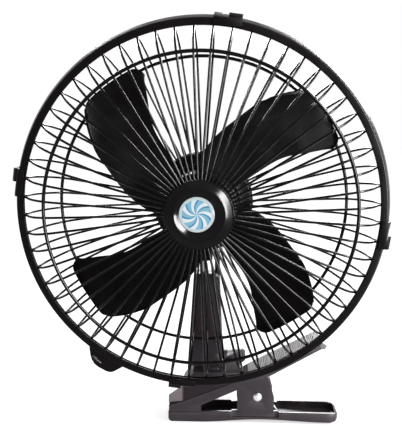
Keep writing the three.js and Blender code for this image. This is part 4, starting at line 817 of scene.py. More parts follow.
@dataclass(frozen=True)
class Coat:
    """A node's finish and how the edges of its copy are softened."""

    node: str
    finish: Finish
    edge: float = 0.3
    sharp: float = 40.0

    def apply(
        self, shape: Callable[[bmesh.types.BMesh], None] | None = None
    ) -> bpy.types.Object:
        """Stands a merged copy of the node with softened edges in its place.

        Args:
            shape: changes the merged copy before its edges are softened.

        Returns:
            The new object.
        """
        bm = copy_node(self.node)
        if shape:
            shape(bm)
        bmesh.ops.dissolve_limit(bm, angle_limit=FLATNESS, verts=bm.verts, edges=bm.edges)
        soften(bm, self.edge, self.sharp)
        piece = Piece(f"{self.node}_shell", (self.node,), self.finish, smooth=self.sharp)
        return piece.settle(bm, outward=False)


@dataclass
class DressedAssembly:
    """A sub-assembly whose pieces are softened copies of their nodes."""

    coats: tuple[Coat, ...] = ()

    def build(self) -> None:
        """Dresses each node."""
        for coat in self.coats:
            coat.apply()


def face_with(
    piece: bpy.types.Object, finish: Finish, chosen: Callable[[Vector, Vector], bool]
) -> None:
    """Gives some faces of a piece another finish.

    Args:
        piece: the object.
        finish: the faces' finish.
        chosen: tells by a face's middle and its normal whether it takes the finish.
    """
    index = len(piece.data.materials)
    piece.data.materials.append(finish.material())
    for face in piece.data.polygons:
        if chosen(face.center, face.normal):
            face.material_index = index


# The head


@dataclass
class Guard:
    """A welded wire guard: radial wires on a middle ring and an edge ring.

    A station is a bend of the wires, given by its radius and depth. The bends say how far each
    station's rounding reaches.
    """

    side: Side
    stations: Outline
    bends: tuple[float, ...]
    ring_places: Outline
    wires: int = 60
    first_degrees: float = 8.07
    wire_radius: float = 0.8 * MM
    ring_radius: float = 1.2 * MM
    sides: int = 8
    ring_steps: int = 180

    def build(self) -> None:
        """Draws one wire, repeats it round the hub and adds the rings."""
        bm = bmesh.new()
        path = [Vector((r, y, 0.0)) for r, y in rounded(self.stations, self.bends)]
        sweep(bm, path, self.wire_radius, self.sides)
        repeat_round(bm, self.wires)
        for radius, depth in self.ring_places:
            ring = bmesh.new()
            section = bmesh.ops.create_circle(
                ring,
                segments=self.sides,
                radius=self.ring_radius,
                matrix=Matrix.Translation((radius, depth, 0)),
            )
            spin_round(ring, section["verts"] + ring.edges[:], self.ring_steps)
            add_mesh(bm, ring)
        place = Matrix.Translation(HUB) @ around(self.first_degrees)
        piece = Piece(f"{self.side.value}_wires", (self.side.value,), WIRE, smooth=60.0)
        piece.settle(bm, place)


@dataclass
class Rim(DressedAssembly):
    """The hoop that clamps the guards, with its lugs, latches and loop."""

    front_radius: float = 122.6 * MM
    flare: float = 3.6 * MM
    wall: float = 1.7 * MM
    width: float = 2 * RIM_HALF_WIDTH
    front_crown: float = 0.5 * MM
    rear_crown: float = 0.4 * MM
    nose: float = 0.48 * MM
    lip_reach: float = 4.3 * MM
    rear_lip_reach: float = 5.5 * MM
    lip: float = 1.0 * MM
    front_lip: float = 1.6 * MM
    edge: float = 0.9 * MM
    steps: int = 240
    coats: tuple[Coat, ...] = (
        Coat("latch_top", HOOP),
        Coat("latch_left", HOOP),
        Coat("latch_bottom", HOOP),
        Coat("latch_right", HOOP),
    )
    lug_length: float = 7.0 * MM
    lug_reach: float = 5.0 * MM
    lug_degrees: tuple[float, ...] = (81.9, 171.5, 264.0, 352.6)
    pin_radius: float = 126.3 * MM
    pin_depth: float = 6.4 * MM
    knuckle: float = 1.8 * MM
    loop_half: float = 2.2 * MM
    loop_edge: float = 0.5
    loop_outline: Outline = (
        (122.6, 230.5), (125.9, 231.9), (128.6, 233.0), (131.1, 234.3), (132.6, 235.7), (133.1, 237.2),
        (132.9, 238.7), (132.9, 240.0), (132.1, 241.2), (130.4, 242.1), (127.6, 242.9), (124.2, 243.9),
        (121.9, 243.4), (121.9, 239.0), (121.9, 236.0), (121.9, 232.0),
    )
    loop_slot: Outline = (
        (127.9, 233.9), (128.5, 233.75), (129.2, 233.9), (129.8, 234.6), (130.2, 235.5), (130.4, 236.4),
        (130.4, 237.2), (130.1, 237.6), (129.6, 237.65), (129.2, 237.3), (128.9, 236.8), (128.6, 236.3),
        (128.3, 235.7), (128.0, 235.1), (127.8, 234.6), (127.75, 234.2),
    )

    def radius_at(self, depth: float) -> float:
        """The hoop's outer radius at a depth."""
        return self.front_radius + self.flare * (depth / self.width + 0.5)

    def groove_at(self, depth: float) -> float:
        """The radius of the hoop's inner wall at a depth."""
        return self.radius_at(depth) - self.wall

    def outline(self) -> Outline:
        """The hoop's section, with its edges rounded.

        Returns:
            Pairs of radius and depth.
        """
        half = self.width / 2
        lip_radius = self.front_radius - self.lip_reach
        rear_radius = self.radius_at(half) - self.rear_lip_reach
        front_back, rear_front = self.front_lip - half, half - self.lip
        corners = [
            (lip_radius, -half),
            (self.front_radius + self.front_crown, -half),
            (self.radius_at(half) + self.rear_crown, half),
            (rear_radius, half),
            (rear_radius, rear_front),
            (self.groove_at(rear_front), rear_front),
            (self.groove_at(front_back), front_back),
            (lip_radius, front_back),
        ]
        lip_nose = 1.5 * self.nose
        radii = (lip_nose, self.edge, self.edge, self.nose, self.nose, 0.0, 0.0, lip_nose)
        return rounded(corners, radii, closed=True)

    def add_lug(self, bm: bmesh.types.BMesh, degrees: float) -> None:
        """Adds the lug that carries a latch's pin.

        Args:
            bm: the hoop's mesh.
            degrees: the lug's place round the hoop.
        """
        front = self.pin_depth - self.lug_reach
        back = self.width / 2 - self.edge
        corners = [
            (self.radius_at(front) - self.wall / 2, front),
            (self.pin_radius + self.knuckle, self.pin_depth),
            (self.pin_radius, self.pin_depth + 2 * self.knuckle),
            (self.pin_radius - self.knuckle, self.pin_depth),
            (self.radius_at(back) - self.wall / 2, back),
        ]
        radii = (0.0, self.knuckle, self.knuckle, self.knuckle, 0.0)
        section = rounded(corners, radii, closed=True)
        turned = around(degrees)
        half = self.lug_length / 2
        verts = [bm.verts.new(turned @ Vector((r, y, -half))) for r, y in section]
        extrude(bm, [bm.faces.new(verts)], turned @ Vector((0, 0, self.lug_length)))

    def build(self) -> None:
        """Builds the hoop and dresses what sits on it."""
        bm = bmesh.new()
        turn_outline(bm, self.outline(), self.steps)
        for degrees in self.lug_degrees:
            self.add_lug(bm, degrees)
        Piece("rim_hoop", ("rim_band",), HOOP, smooth=30.0).settle(bm, Matrix.Translation(HUB))
        super().build()
        self.build_loop()

    def build_loop(self) -> None:
        """Builds the lobe and its slot between two outlines of radius in millimetres and degrees."""
        bm = bmesh.new()
        rings = []
        for outline in (self.loop_outline, self.loop_slot):
            places = [around(turn) @ Vector((r * MM, -self.loop_half, 0)) for r, turn in outline]
            rings += draw_ring(bm, places)
        faces = bmesh.ops.bridge_loops(bm, edges=rings)["faces"]
        extrude(bm, faces, (0, 2 * self.loop_half, 0))
        bmesh.ops.recalc_face_normals(bm, faces=bm.faces)
        soften(bm, self.loop_edge, sharp=60.0)
        Piece("rim_lobe", ("rim_loop",), HOOP, smooth=50.0).settle(bm, Matrix.Translation(HUB))


@dataclass
class Cap(DressedAssembly):
    """The bowl in the middle of the front guard and the printed disc in it."""

    radius: float = 22.4 * MM
    back_depth: float = -21.95 * MM
    crest_radius: float = 16.3 * MM
    crest_depth: float = -27.15 * MM
    crest_half: float = 1.5 * MM
    crest_fall: float = 0.7 * MM
    shoulder_depth: float = -24.2 * MM
    bead: float = 0.8 * MM
    bowl_radius: float = 10.9 * MM
    bowl_depth: float = -23.95 * MM
    badge_radius: float = 11.3 * MM
    badge_depth: float = -25.25 * MM
    badge_thickness: float = 1.0 * MM
    badge_roundings: tuple[float, ...] = (0.0, 0.5 * MM, 0.2 * MM, 0.0)
    steps: int = 128
    coats: tuple[Coat, ...] = (Coat("cap_clamp", SATIN), Coat("cap_screw", DULL, edge=0.25))

    def build(self) -> None:
        """Builds the cap, the disc and what holds them from behind."""
        crest_side = self.crest_depth + self.crest_fall
        neck, ledge = self.radius - self.bead, self.shoulder_depth + self.bead / 2
        # Each corner, as radius and depth, with how far its rounding reaches
        profile = [
            ((0.0, self.bowl_depth), 0.0),
            ((self.bowl_radius, self.bowl_depth), 0.8 * MM),
            ((self.crest_radius - self.crest_half, crest_side), 1.3 * MM),
            ((self.crest_radius, self.crest_depth), 1.3 * MM),
            ((self.crest_radius + self.crest_half, crest_side), 1.2 * MM),
            ((neck, self.shoulder_depth), 0.8 * MM),
            ((neck, ledge), 0.0),
            ((self.radius, ledge), 0.4 * MM),
            ((self.radius, self.back_depth), 0.3 * MM),
            ((0.0, self.back_depth), 0.0),
        ]
        corners, roundings = zip(*profile)
        bm = bmesh.new()
        turn_outline(bm, rounded(corners, roundings, steps=6), self.steps, closed=False)
        Piece("cap_bowl", ("front_cap",), GLOSS).settle(bm, Matrix.Translation(HUB))
        self.build_badge()
        super().build()

    def build_badge(self) -> None:
        """Builds the disc, its middle read from the frame."""
        low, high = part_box("badge")
        centre = (low + high) / 2
        front = self.badge_depth
        corners = [
            (0.0, front),
            (self.badge_radius, front),
            (self.badge_radius, front + self.badge_thickness),
            (0.0, front + self.badge_thickness),
        ]
        bm = bmesh.new()
        turn_outline(bm, rounded(corners, self.badge_roundings), self.steps, closed=False)
        border = (0.66, 0.78, 0.83)
        print_face = PrintedDisc(
            "badge_print", Slot.BADGE_FACE, border, 0.18, specular=0.5, centre=tuple(centre)
        )
        place = Matrix.Translation((centre.x, HUB.y, centre.z))
        Piece("badge_disc", ("badge",), print_face).settle(bm, place)


@dataclass
class Impeller(DressedAssembly):
    """Four swept blades on a hollow hub, with the nut that holds it on the shaft."""

    blades: int = 4
    hub_radius: float = 25.5 * MM
    tip_radius: float = 105.2 * MM
    front_depth: float = -9.0 * MM
    rear_depth: float = 15.0 * MM
    wall: float = 2.4 * MM
    bore_radius: float = 2.3 * MM
    boss_radius: float = 5.5 * MM
    thickness: float = 1.7 * MM
    blade_edge: float = 0.5 * MM
    trail_depths: tuple[float, float] = (-5.0 * MM, 8.5 * MM)
    lead_depths: tuple[float, float] = (13.0 * MM, 23.5 * MM)
    camber: float = 2.4 * MM
    corner: float = 7.5 * MM
    corner_power: int = 4
    radius_shares: tuple[float, ...] = (0.0, 0.42, 0.73, 1.0)
    trail_degrees: tuple[float, ...] = (97.0, 71.5, 60.0, 50.5)
    lead_degrees: tuple[float, ...] = (31.0, 32.0, 27.0, 24.0)
    rows: int = 40
    columns: int = 48
    coats: tuple[Coat, ...] = (
        Coat("hub_nut", SATIN, edge=0.4),
        Coat("motor_shaft", BRIGHT, edge=0.2),
        Coat("worm", BRONZE, edge=0.1),
    )

    def edge(self, degrees_at: Sequence[float], share: float) -> tuple[float, float]:
        """A point of a blade's edge, on one smooth curve through the chosen radii.

        Args:
            degrees_at: the edge's angles at the chosen radii.
            share: how far along the edge, from 0 at the hub to 1 at the tip.

        Returns:
            The point's radius and its angle in degrees.
        """
        reach = self.tip_radius - self.hub_radius
        points = [
            Vector((self.hub_radius + part * reach, degrees))
            for part, degrees in zip(self.radius_shares, degrees_at)
        ]
        last = len(points) - 1
        along = share * last
        index = min(int(along), last - 1)
        t = along - index
        a, b = points[max(index - 1, 0)], points[index]
        c, d = points[index + 1], points[min(index + 2, last)]
        slope_b, slope_c = (c - a) / 2, (d - b) / 2
        cubic = (2 * b - 2 * c + slope_b + slope_c) * t**3
        square = (-3 * b + 3 * c - 2 * slope_b - slope_c) * t**2
        point = cubic + square + slope_b * t + b
        return point.x, point.y

    def blade_point(self, radial: float, chord: float) -> Vector:
        """Finds a point of a blade's middle surface.

        Args:
            radial: its share of the way from the hub to the tip.
            chord: its share of the way from the trailing edge to the leading edge.

        Returns:
            The point, measured from the middle of the rim.
        """
        radius, trail = self.edge(self.trail_degrees, radial)
        _, lead = self.edge(self.lead_degrees, radial)
        angle = math.radians(trail + (lead - trail) * chord)
        length = radius * math.radians(trail - lead)
        bite = max(0.0, 1.0 - min(chord, 1.0 - chord) * length / self.corner)
        drawn = radial**self.corner_power * self.corner * (1.0 - math.sqrt(1.0 - bite * bite))
        inset = (1.0 - min(1.0, radial * self.rows)) * self.wall / 2
        out = radius - drawn - inset
        trail_depth = self.trail_depths[0] + (self.trail_depths[1] - self.trail_depths[0]) * radial
        lead_depth = self.lead_depths[0] + (self.lead_depths[1] - self.lead_depths[0]) * radial
        bulge = self.camber * 4 * chord * (1 - chord)
        depth = trail_depth + (lead_depth - trail_depth) * chord + bulge
        return Vector((out * math.cos(angle), depth, out * math.sin(angle)))

    def build_blades(self) -> None:
        """Shapes a grid into one blade, repeats it and gives it its thickness."""
        bm = bmesh.new()
        bmesh.ops.create_grid(bm, x_segments=self.columns, y_segments=self.rows, size=0.5)
        for vert in bm.verts:
            chord = 0.5 - 0.5 * math.cos(math.pi * (vert.co.x + 0.5))
            vert.co = self.blade_point(vert.co.y + 0.5, chord)
        repeat_round(bm, self.blades)
        bmesh.ops.recalc_face_normals(bm, faces=bm.faces)
        piece = Piece("impeller_blades", ("impeller",), BLADE, smooth=50.0)
        blades = piece.settle(bm, Matrix.Translation(HUB), outward=False)
        thicken = blades.modifiers.new("thickness", "SOLIDIFY")
        thicken.thickness = self.thickness
        thicken.offset = 0.0
        soft_edge = blades.modifiers.new("soft_edge", "BEVEL")
        soft_edge.width = self.blade_edge
        soft_edge.segments = 3
        soft_edge.limit_method = "ANGLE"
        soft_edge.angle_limit = math.radians(50)

    def build_hub(self) -> None:
        """Spins the hub's cup."""
        inner = self.hub_radius - self.wall
        floor, boss_end = self.front_depth + self.wall, self.rear_depth - self.wall
        # Each corner, as radius and depth, with how far its rounding reaches
        profile = [
            ((self.bore_radius, self.front_depth), 0.0),
            ((self.hub_radius, self.front_depth), 4.0 * MM),
            ((self.hub_radius, self.rear_depth), 0.5 * MM),
            ((inner, self.rear_depth), 0.5 * MM),
            ((inner, floor), 2.0 * MM),
            ((self.boss_radius, floor), 1.0 * MM),
            ((self.boss_radius, boss_end), 0.0),
            ((self.bore_radius, boss_end), 0.0),
        ]
        corners, roundings = zip(*profile)
        bm = bmesh.new()
        turn_outline(bm, rounded(corners, roundings, closed=True), steps=96)
        Piece("impeller_hub", ("impeller",), BLADE).settle(bm, Matrix.Translation(HUB))

    def build(self) -> None:
        """Builds what turns with the shaft."""
        self.build_blades()
        self.build_hub()
        super().build()


@dataclass
class Motor(DressedAssembly):
    """Motor housing, its nut, switch, grommet and screws, and what is inside."""

    coats: tuple[Coat, ...] = (
        Coat("motor_front", HOOP, edge=0.5, sharp=30.0),
        Coat("motor_rear", HOOP, edge=0.5, sharp=30.0),
        Coat("guard_nut", HOOP, edge=0.4),
        Coat("switch_frame", GLOSS, edge=0.4),
        Coat("speed_switch", GLOSS, edge=0.5),
        Coat("cord_grommet", RUBBER),
        Coat("motor_can", DULL),
        Coat("front_bearing", BRONZE, edge=0.2),
        Coat("rear_bearing", BRONZE, edge=0.2),
        Coat("housing_screw_1", DULL, edge=0.2),
        Coat("housing_screw_2", DULL, edge=0.2),
    )


@dataclass
class SwingGear(DressedAssembly):
    """The knob, wheel, spindle, crank and link that swing the head."""

    coats: tuple[Coat, ...] = (
        Coat("oscillation_knob", SATIN),
        Coat("worm_wheel", NYLON, edge=0.15),
        Coat("spindle", BRIGHT, edge=0.2),
        Coat("crank", DULL),
        Coat("link_arm", DULL),
    )


# The neck and the clamp


@dataclass
class Neck(DressedAssembly):
    """The two neck shells, the pivot shaft and the tilt hinge."""

    coats: tuple[Coat, ...] = (
        Coat("neck_front", BODY, edge=0.4),
        Coat("neck_rear", BODY, edge=0.4),
        Coat("pivot_shaft", BRIGHT, edge=0.2),
        Coat("tilt_nut", DULL),
        Coat("wing_screw", GREYED, edge=0.7),
        Coat("neck_screw_upper", DULL, edge=0.2),
        Coat("neck_screw_lower", DULL, edge=0.2),
    )


@dataclass
class LowerArm:
    """The open channel of the lower jaw and grip, with the ears inside that hold the rivet."""

    tip_x: float = -12.3 * MM
    end_x: float = 120.6 * MM
    half: float = 11.0 * MM
    waist_half: float = 8.6 * MM
    waist_from: float = 37.4 * MM
    waist_to: float = 74.1 * MM
    shelf_z: float = -3.6 * MM
    wall: float = 2.0 * MM
    floor: float = 2.2 * MM
    jaw_top: float = -0.2 * MM
    grip_top: float = 1.1 * MM
    heel_x: float = 13.2 * MM
    rise_x: float = 28.0 * MM
    pad_floor: float = -1.5 * MM
    foot: tuple[float, float] = (9.5 * MM, -8.0 * MM)
    arch: tuple[float, float] = (62.0 * MM, -5.0 * MM)
    grip: tuple[float, float] = (114.0 * MM, -6.7 * MM)
    tip_corner: float = 2.8 * MM
    end_corner: float = 6.5 * MM
    end_rise: float = 3.2 * MM
    end_drop: float = 2.6 * MM
    corner_share: float = 0.2
    step: float = 3.5 * MM
    steep: float = 0.4 * MM
    edge: float = 0.45
    seam: float = 0.1 * MM
    lip_band: float = 0.5 * MM
    top_band: float = 0.2 * MM
    hollow_lean: float = -0.3
    top_lean: float = 0.95
    pivot: tuple[float, float] = (57.4 * MM, 13.6 * MM)
    ear_radius: float = 5.4 * MM
    ear_foot: float = 10.0 * MM
    ear_inset: float = 0.05 * MM
    ear_steps: int = 16

    def bottom(self, x: float) -> float:
        """The height of the underside.

        Args:
            x: a place along X.

        Returns:
            The height.
        """
        low, arch, grip = self.foot, self.arch, self.grip
        if x < self.tip_x + self.tip_corner:
            reach = self.tip_x + self.tip_corner - x
            return low[1] + self.tip_corner - math.sqrt(max(self.tip_corner**2 - reach**2, 0.0))
        if x > grip[0]:
            reach = (x - grip[0]) / (self.end_x - grip[0])
            return grip[1] + self.end_rise * (1.0 - math.sqrt(max(1.0 - reach**2, 0.0)))
        start, end = (low, arch) if x < arch[0] else (arch, grip)
        share = min(max((x - start[0]) / (end[0] - start[0]), 0.0), 1.0)
        return start[1] + (end[1] - start[1]) * (0.5 - 0.5 * math.cos(math.pi * share))

    def top(self, x: float) -> float:
        """The height of the walls.

        Args:
            x: a place along X.

        Returns:
            The height.
        """
        rise = min(max((x - self.heel_x) / (self.rise_x - self.heel_x), 0.0), 1.0)
        reach = min(max((x - self.end_x + self.end_corner) / self.end_corner, 0.0), 1.0)
        drop = self.end_drop * (1 - math.sqrt(1 - reach**2))
        return self.jaw_top + (self.grip_top - self.jaw_top) * rise - drop

    def half_at(self, x: float) -> float:
        """Half the width at a place along X, less in the rounded end."""
        reach = min(max(x - self.end_x + self.end_corner, 0.0), self.end_corner)
        return self.half - self.end_corner + math.sqrt(self.end_corner**2 - reach**2)

    def places(self) -> list[float]:
        """Chooses the places of the sections.

        Returns:
            The places along X, in order.
        """
        stops = [
            self.tip_x,
            self.tip_x + self.corner_share * self.tip_corner,
            self.tip_x + self.wall,
            self.tip_x + self.wall + self.steep,
            self.heel_x - self.steep,
            self.heel_x,
            self.waist_from - self.steep,
            self.waist_from,
            self.waist_to,
            self.waist_to + self.steep,
            self.end_x - self.end_corner,
            self.end_x - self.wall - self.steep,
            self.end_x - self.wall,
            self.end_x - self.corner_share * self.wall,
            self.end_x,
        ]
        between = []
        for start, end in zip(stops, stops[1:]):
            pieces = max(round((end - start) / self.step), 1)
            between += [start + (end - start) * index / pieces for index in range(pieces)]
        return between + [stops[-1]]

    def section(self, x: float) -> Outline:
        """The channel's section.

        Args:
            x: the section's place along X.

        Returns:
            Pairs of Y and Z, in order round the section.
        """
        half, low, high = self.half_at(x), self.bottom(x), self.top(x)
        narrow = self.waist_from <= x <= self.waist_to
        waist = self.waist_half if narrow else half
        shelf = self.shelf_z if narrow else high
        inner = waist - self.wall
        floor = low + self.floor
        if x < self.heel_x:
            floor = self.pad_floor
        if not self.tip_x + self.wall < x < self.end_x - self.wall:
            floor = high
        outside = [(half, low), (half, shelf), (waist, shelf), (waist, high)]
        side = [*outside, (inner, high), (inner, floor)]
        return [(-y, z) for y, z in side] + side[::-1]

    def add_ear(self, bm: bmesh.types.BMesh, inner: float) -> None:
        """Adds one ear, a plate that stands on a wall.

        Args:
            bm: the arm's mesh.
            inner: where the ear starts along Y.
        """
        x, z = self.pivot
        low = self.grip_top - self.wall / 2
        outline = [(x - self.ear_foot, low), (x + self.ear_foot, low)]
        for step in range(self.ear_steps + 1):
            angle = math.pi * step / self.ear_steps
            outline.append((x + self.ear_radius * math.cos(angle), z + self.ear_radius * math.sin(angle)))
        face = bm.faces.new([bm.verts.new((px, inner, pz)) for px, pz in outline])
        extrude(bm, [face], (0, self.wall - 2 * self.ear_inset, 0))

    def build(self) -> None:
        """Joins the sections, closes the ends and adds the ears."""
        bm = bmesh.new()
        rings = [draw_ring(bm, [(x, y, z) for y, z in self.section(x)]) for x in self.places()]
        for ring, ahead in zip(rings, rings[1:]):
            bmesh.ops.bridge_loops(bm, edges=ring + ahead)
        for ring in (rings[0], rings[-1]):
            bmesh.ops.contextual_create(bm, geom=ring)
        bmesh.ops.remove_doubles(bm, verts=bm.verts, dist=MERGE)
        bmesh.ops.dissolve_degenerate(bm, edges=bm.edges, dist=MERGE)
        for wall_start in (self.waist_half - self.wall, -self.waist_half):
            self.add_ear(bm, wall_start + self.ear_inset)
        bmesh.ops.recalc_face_normals(bm, faces=bm.faces)
        soften(bm, self.edge)
        arm = Piece("lower_arm_channel", ("lower_arm",), SATIN, smooth=40.0).settle(bm)
        # the grip's hollow is painted darker as painted shade
        face_with(arm, HOLLOW_SHADE, self.is_inside)
        # the tops of the grip's walls take a painted highlight
        face_with(arm, EDGE, self.is_wall_top)

    def is_inside(self, middle: Vector, normal: Vector) -> bool:
        """Tells whether a face lines the grip's hollow, which takes painted shade.

        Args:
            middle: the face's middle.
            normal: its normal.

        Returns:
            Whether it does.
        """
        deep = middle.z < self.top(middle.x) - self.lip_band
        narrow = self.waist_from < middle.x < self.waist_to
        half = self.waist_half if narrow else self.half_at(middle.x)
        between = abs(middle.y) < half - self.wall + self.seam
        return middle.x > self.heel_x and deep and between and normal.z > self.hollow_lean

    def is_wall_top(self, middle: Vector, normal: Vector) -> bool:
        """Whether a face lies on top of the grip's walls."""
        high = middle.z > self.top(middle.x) - self.top_band
        return middle.x > self.rise_x and normal.z > self.top_lean and high


@dataclass
class Clamp(DressedAssembly):
    """The two arms with their pads, the block, the rivet and the spring."""

    nose_tip: tuple[float, float, float] = (-12.2 * MM, -7.0 * MM, 12.4 * MM)
    nose_root: tuple[float, float, float] = (-0.9 * MM, -11.0 * MM, 22.3 * MM)
    nose_fall: tuple[float, float, float] = (0.0, 1.0, -0.8)
    handle_root: tuple[float, float] = (50.1 * MM, 31.7 * MM)
    handle_end: tuple[float, float] = (102.4 * MM, 59.6 * MM)
    handle_cut: float = 104.6 * MM
    roof_end: float = 57.1 * MM
    comb_from: float = 7.4 * MM
    comb_pitch: float = 1.42 * MM
    comb_height: float = 0.8 * MM
    comb_sink: float = 0.3 * MM
    comb_half: float = 10.4 * MM
    comb_ribs: int = 36
    comb_shares: Outline = ((0.06, 0.0), (0.22, 1.0), (0.62, 1.0), (0.78, 0.0))
    coarse_ribs_from: float = 84.0 * MM
    handle_nose_from: float = 95.0 * MM
    roll: tuple[float, float] = (106.9 * MM, 56.1 * MM)
    roll_radius: float = 2.7 * MM
    roll_half: float = 11.1 * MM
    roll_edge: float = 0.9 * MM
    front_lean: float = -0.3
    side_lean: float = 0.9
    shelf_lean: float = 0.7
    roof_lean: float = 0.5
    coats: tuple[Coat, ...] = (
        Coat("upper_pad", RUBBER, edge=0.15),
        Coat("lower_pad", RUBBER, edge=0.15),
        Coat("rivet", BRIGHT, edge=0.5),
        Coat("clamp_spring", DULL, edge=0.1, sharp=80.0),
        Coat("block_screw_1", DULL, edge=0.2),
        Coat("block_screw_2", DULL, edge=0.2),
    )

    def handle_axes(self) -> tuple[Vector, Vector, Vector]:
        """Finds the lines that the handle is built on.

        Returns:
            A point of the handle's top, the direction along it and the direction out of it.
        """
        root = Vector((self.handle_root[0], 0, self.handle_root[1]))
        end = Vector((self.handle_end[0], 0, self.handle_end[1]))
        along = (end - root).normalized()
        return root, along, Vector((-along.z, 0, along.x))

    def plain_handle(self, bm: bmesh.types.BMesh) -> None:
        """Takes the coarse ribs and the nose off the handle's copy.

        Args:
            bm: the copy.
        """
        root, along, out = self.handle_axes()
        cut_above(bm, root, out, self.coarse_ribs_from)
        end = root + along * (self.handle_cut - root.x) / along.x
        cut_above(bm, end, along, self.handle_nose_from)

    def slope_nose(self, bm: bmesh.types.BMesh) -> None:
        """Parts the block's nose from its body and slopes the nose's top down to the rear.

        Args:
            bm: the block's copy.
        """
        nose = copy_node("base_block")
        tip, root = Vector(self.nose_tip), Vector(self.nose_root)
        cut_above(bm, root, Vector((-1, 0, 0)))
        cut_above(nose, root, Vector((1, 0, 0)))
        slope = (root - tip).cross(Vector(self.nose_fall)).normalized()
        cut_above(nose, root, slope)
        add_mesh(bm, nose)

    def build_comb(self) -> None:
        """Draws the comb's profile along the handle and extrudes it across."""
        root, along, out = self.handle_axes()
        pitch, high = self.comb_pitch, self.comb_height
        profile = [(self.comb_from, -self.comb_sink)]
        for rib in range(self.comb_ribs):
            start = self.comb_from + rib * pitch
            profile += [(start + share * pitch, level * high) for share, level in self.comb_shares]
        profile.append((self.comb_from + self.comb_ribs * pitch, -self.comb_sink))
        across = Vector((0, -self.comb_half, 0))
        bm = bmesh.new()
        verts = [bm.verts.new(root + along * s + out * t + across) for s, t in profile]
        extrude(bm, [bm.faces.new(verts)], -2 * across)
        # the comb carries painted sheen, a tint lighter than the arm's black
        Piece("handle_comb", ("upper_arm",), COMB_SHEEN, smooth=30.0).settle(bm)

    def build_roll(self) -> None:
        """Spins the rounded bar at the handle's end."""
        half, radius = self.roll_half, self.roll_radius
        corners = [(0.0, -half), (radius, -half), (radius, half), (0.0, half)]
        roundings = (0.0, self.roll_edge, self.roll_edge, 0.0)
        bm = bmesh.new()
        turn_outline(bm, rounded(corners, roundings), steps=32, closed=False)
        place = Matrix.Translation((self.roll[0], 0, self.roll[1]))
        # the bar's light grey is a painted highlight
        Piece("handle_roll", ("upper_arm",), ROLL).settle(bm, place)

    def is_painted_light_side(self, middle: Vector, normal: Vector) -> bool:
        """Whether a face of the block is one of the nose's sides, which take painted light."""
        return normal.x < self.front_lean and abs(normal.y) > self.side_lean

    def is_shelf(self, middle: Vector, normal: Vector) -> bool:
        """Whether a face of the block is its shaded top."""
        return normal.z > self.shelf_lean and middle.x > 0.0

    def is_roof(self, middle: Vector, normal: Vector) -> bool:
        """Whether a face of the upper arm is its shaded top under the neck."""
        return normal.z > self.roof_lean and middle.x < self.roof_end

    def build(self) -> None:
        """Builds the arms and the block and dresses the rest."""
        block = Coat("base_block", BODY, edge=0.5).apply(self.slope_nose)
        # the nose's sides take a light grey tint as painted light
        face_with(block, NOSE_PAINTED_LIGHT, self.is_painted_light_side)
        face_with(block, SHELF, self.is_shelf)
        arm = Coat("upper_arm", SATIN, edge=0.5).apply(self.plain_handle)
        face_with(arm, SHELF, self.is_roof)
        self.build_comb()
        self.build_roll()
        LowerArm().build()
        super().build()


# The studio


@dataclass
class SoftLamp:
    """An area lamp that looks at the fan."""

    name: str
    place: tuple[float, float, float]
    size: tuple[float, float]
    watts: float
    light: Light = Light.PLAIN

    def build(self, target: Vector) -> None:
        """Hangs the lamp and turns it to the target.

        Args:
            target: the point that the lamp looks at.
        """
        lamp = bpy.data.lights.new(self.name, "AREA")
        lamp.shape = "RECTANGLE"
        lamp.size, lamp.size_y = self.size
        lamp.energy = self.watts
        holder = bpy.data.objects.new(self.name, lamp)
        holder.location = self.place
        holder.rotation_euler = (target - Vector(self.place)).to_track_quat("-Z", "Y").to_euler()
        holder.visible_camera = False
        holder.visible_diffuse = self.light is not Light.GLEAM
        holder.visible_glossy = self.light is not Light.FILL
        bpy.context.scene.collection.objects.link(holder)


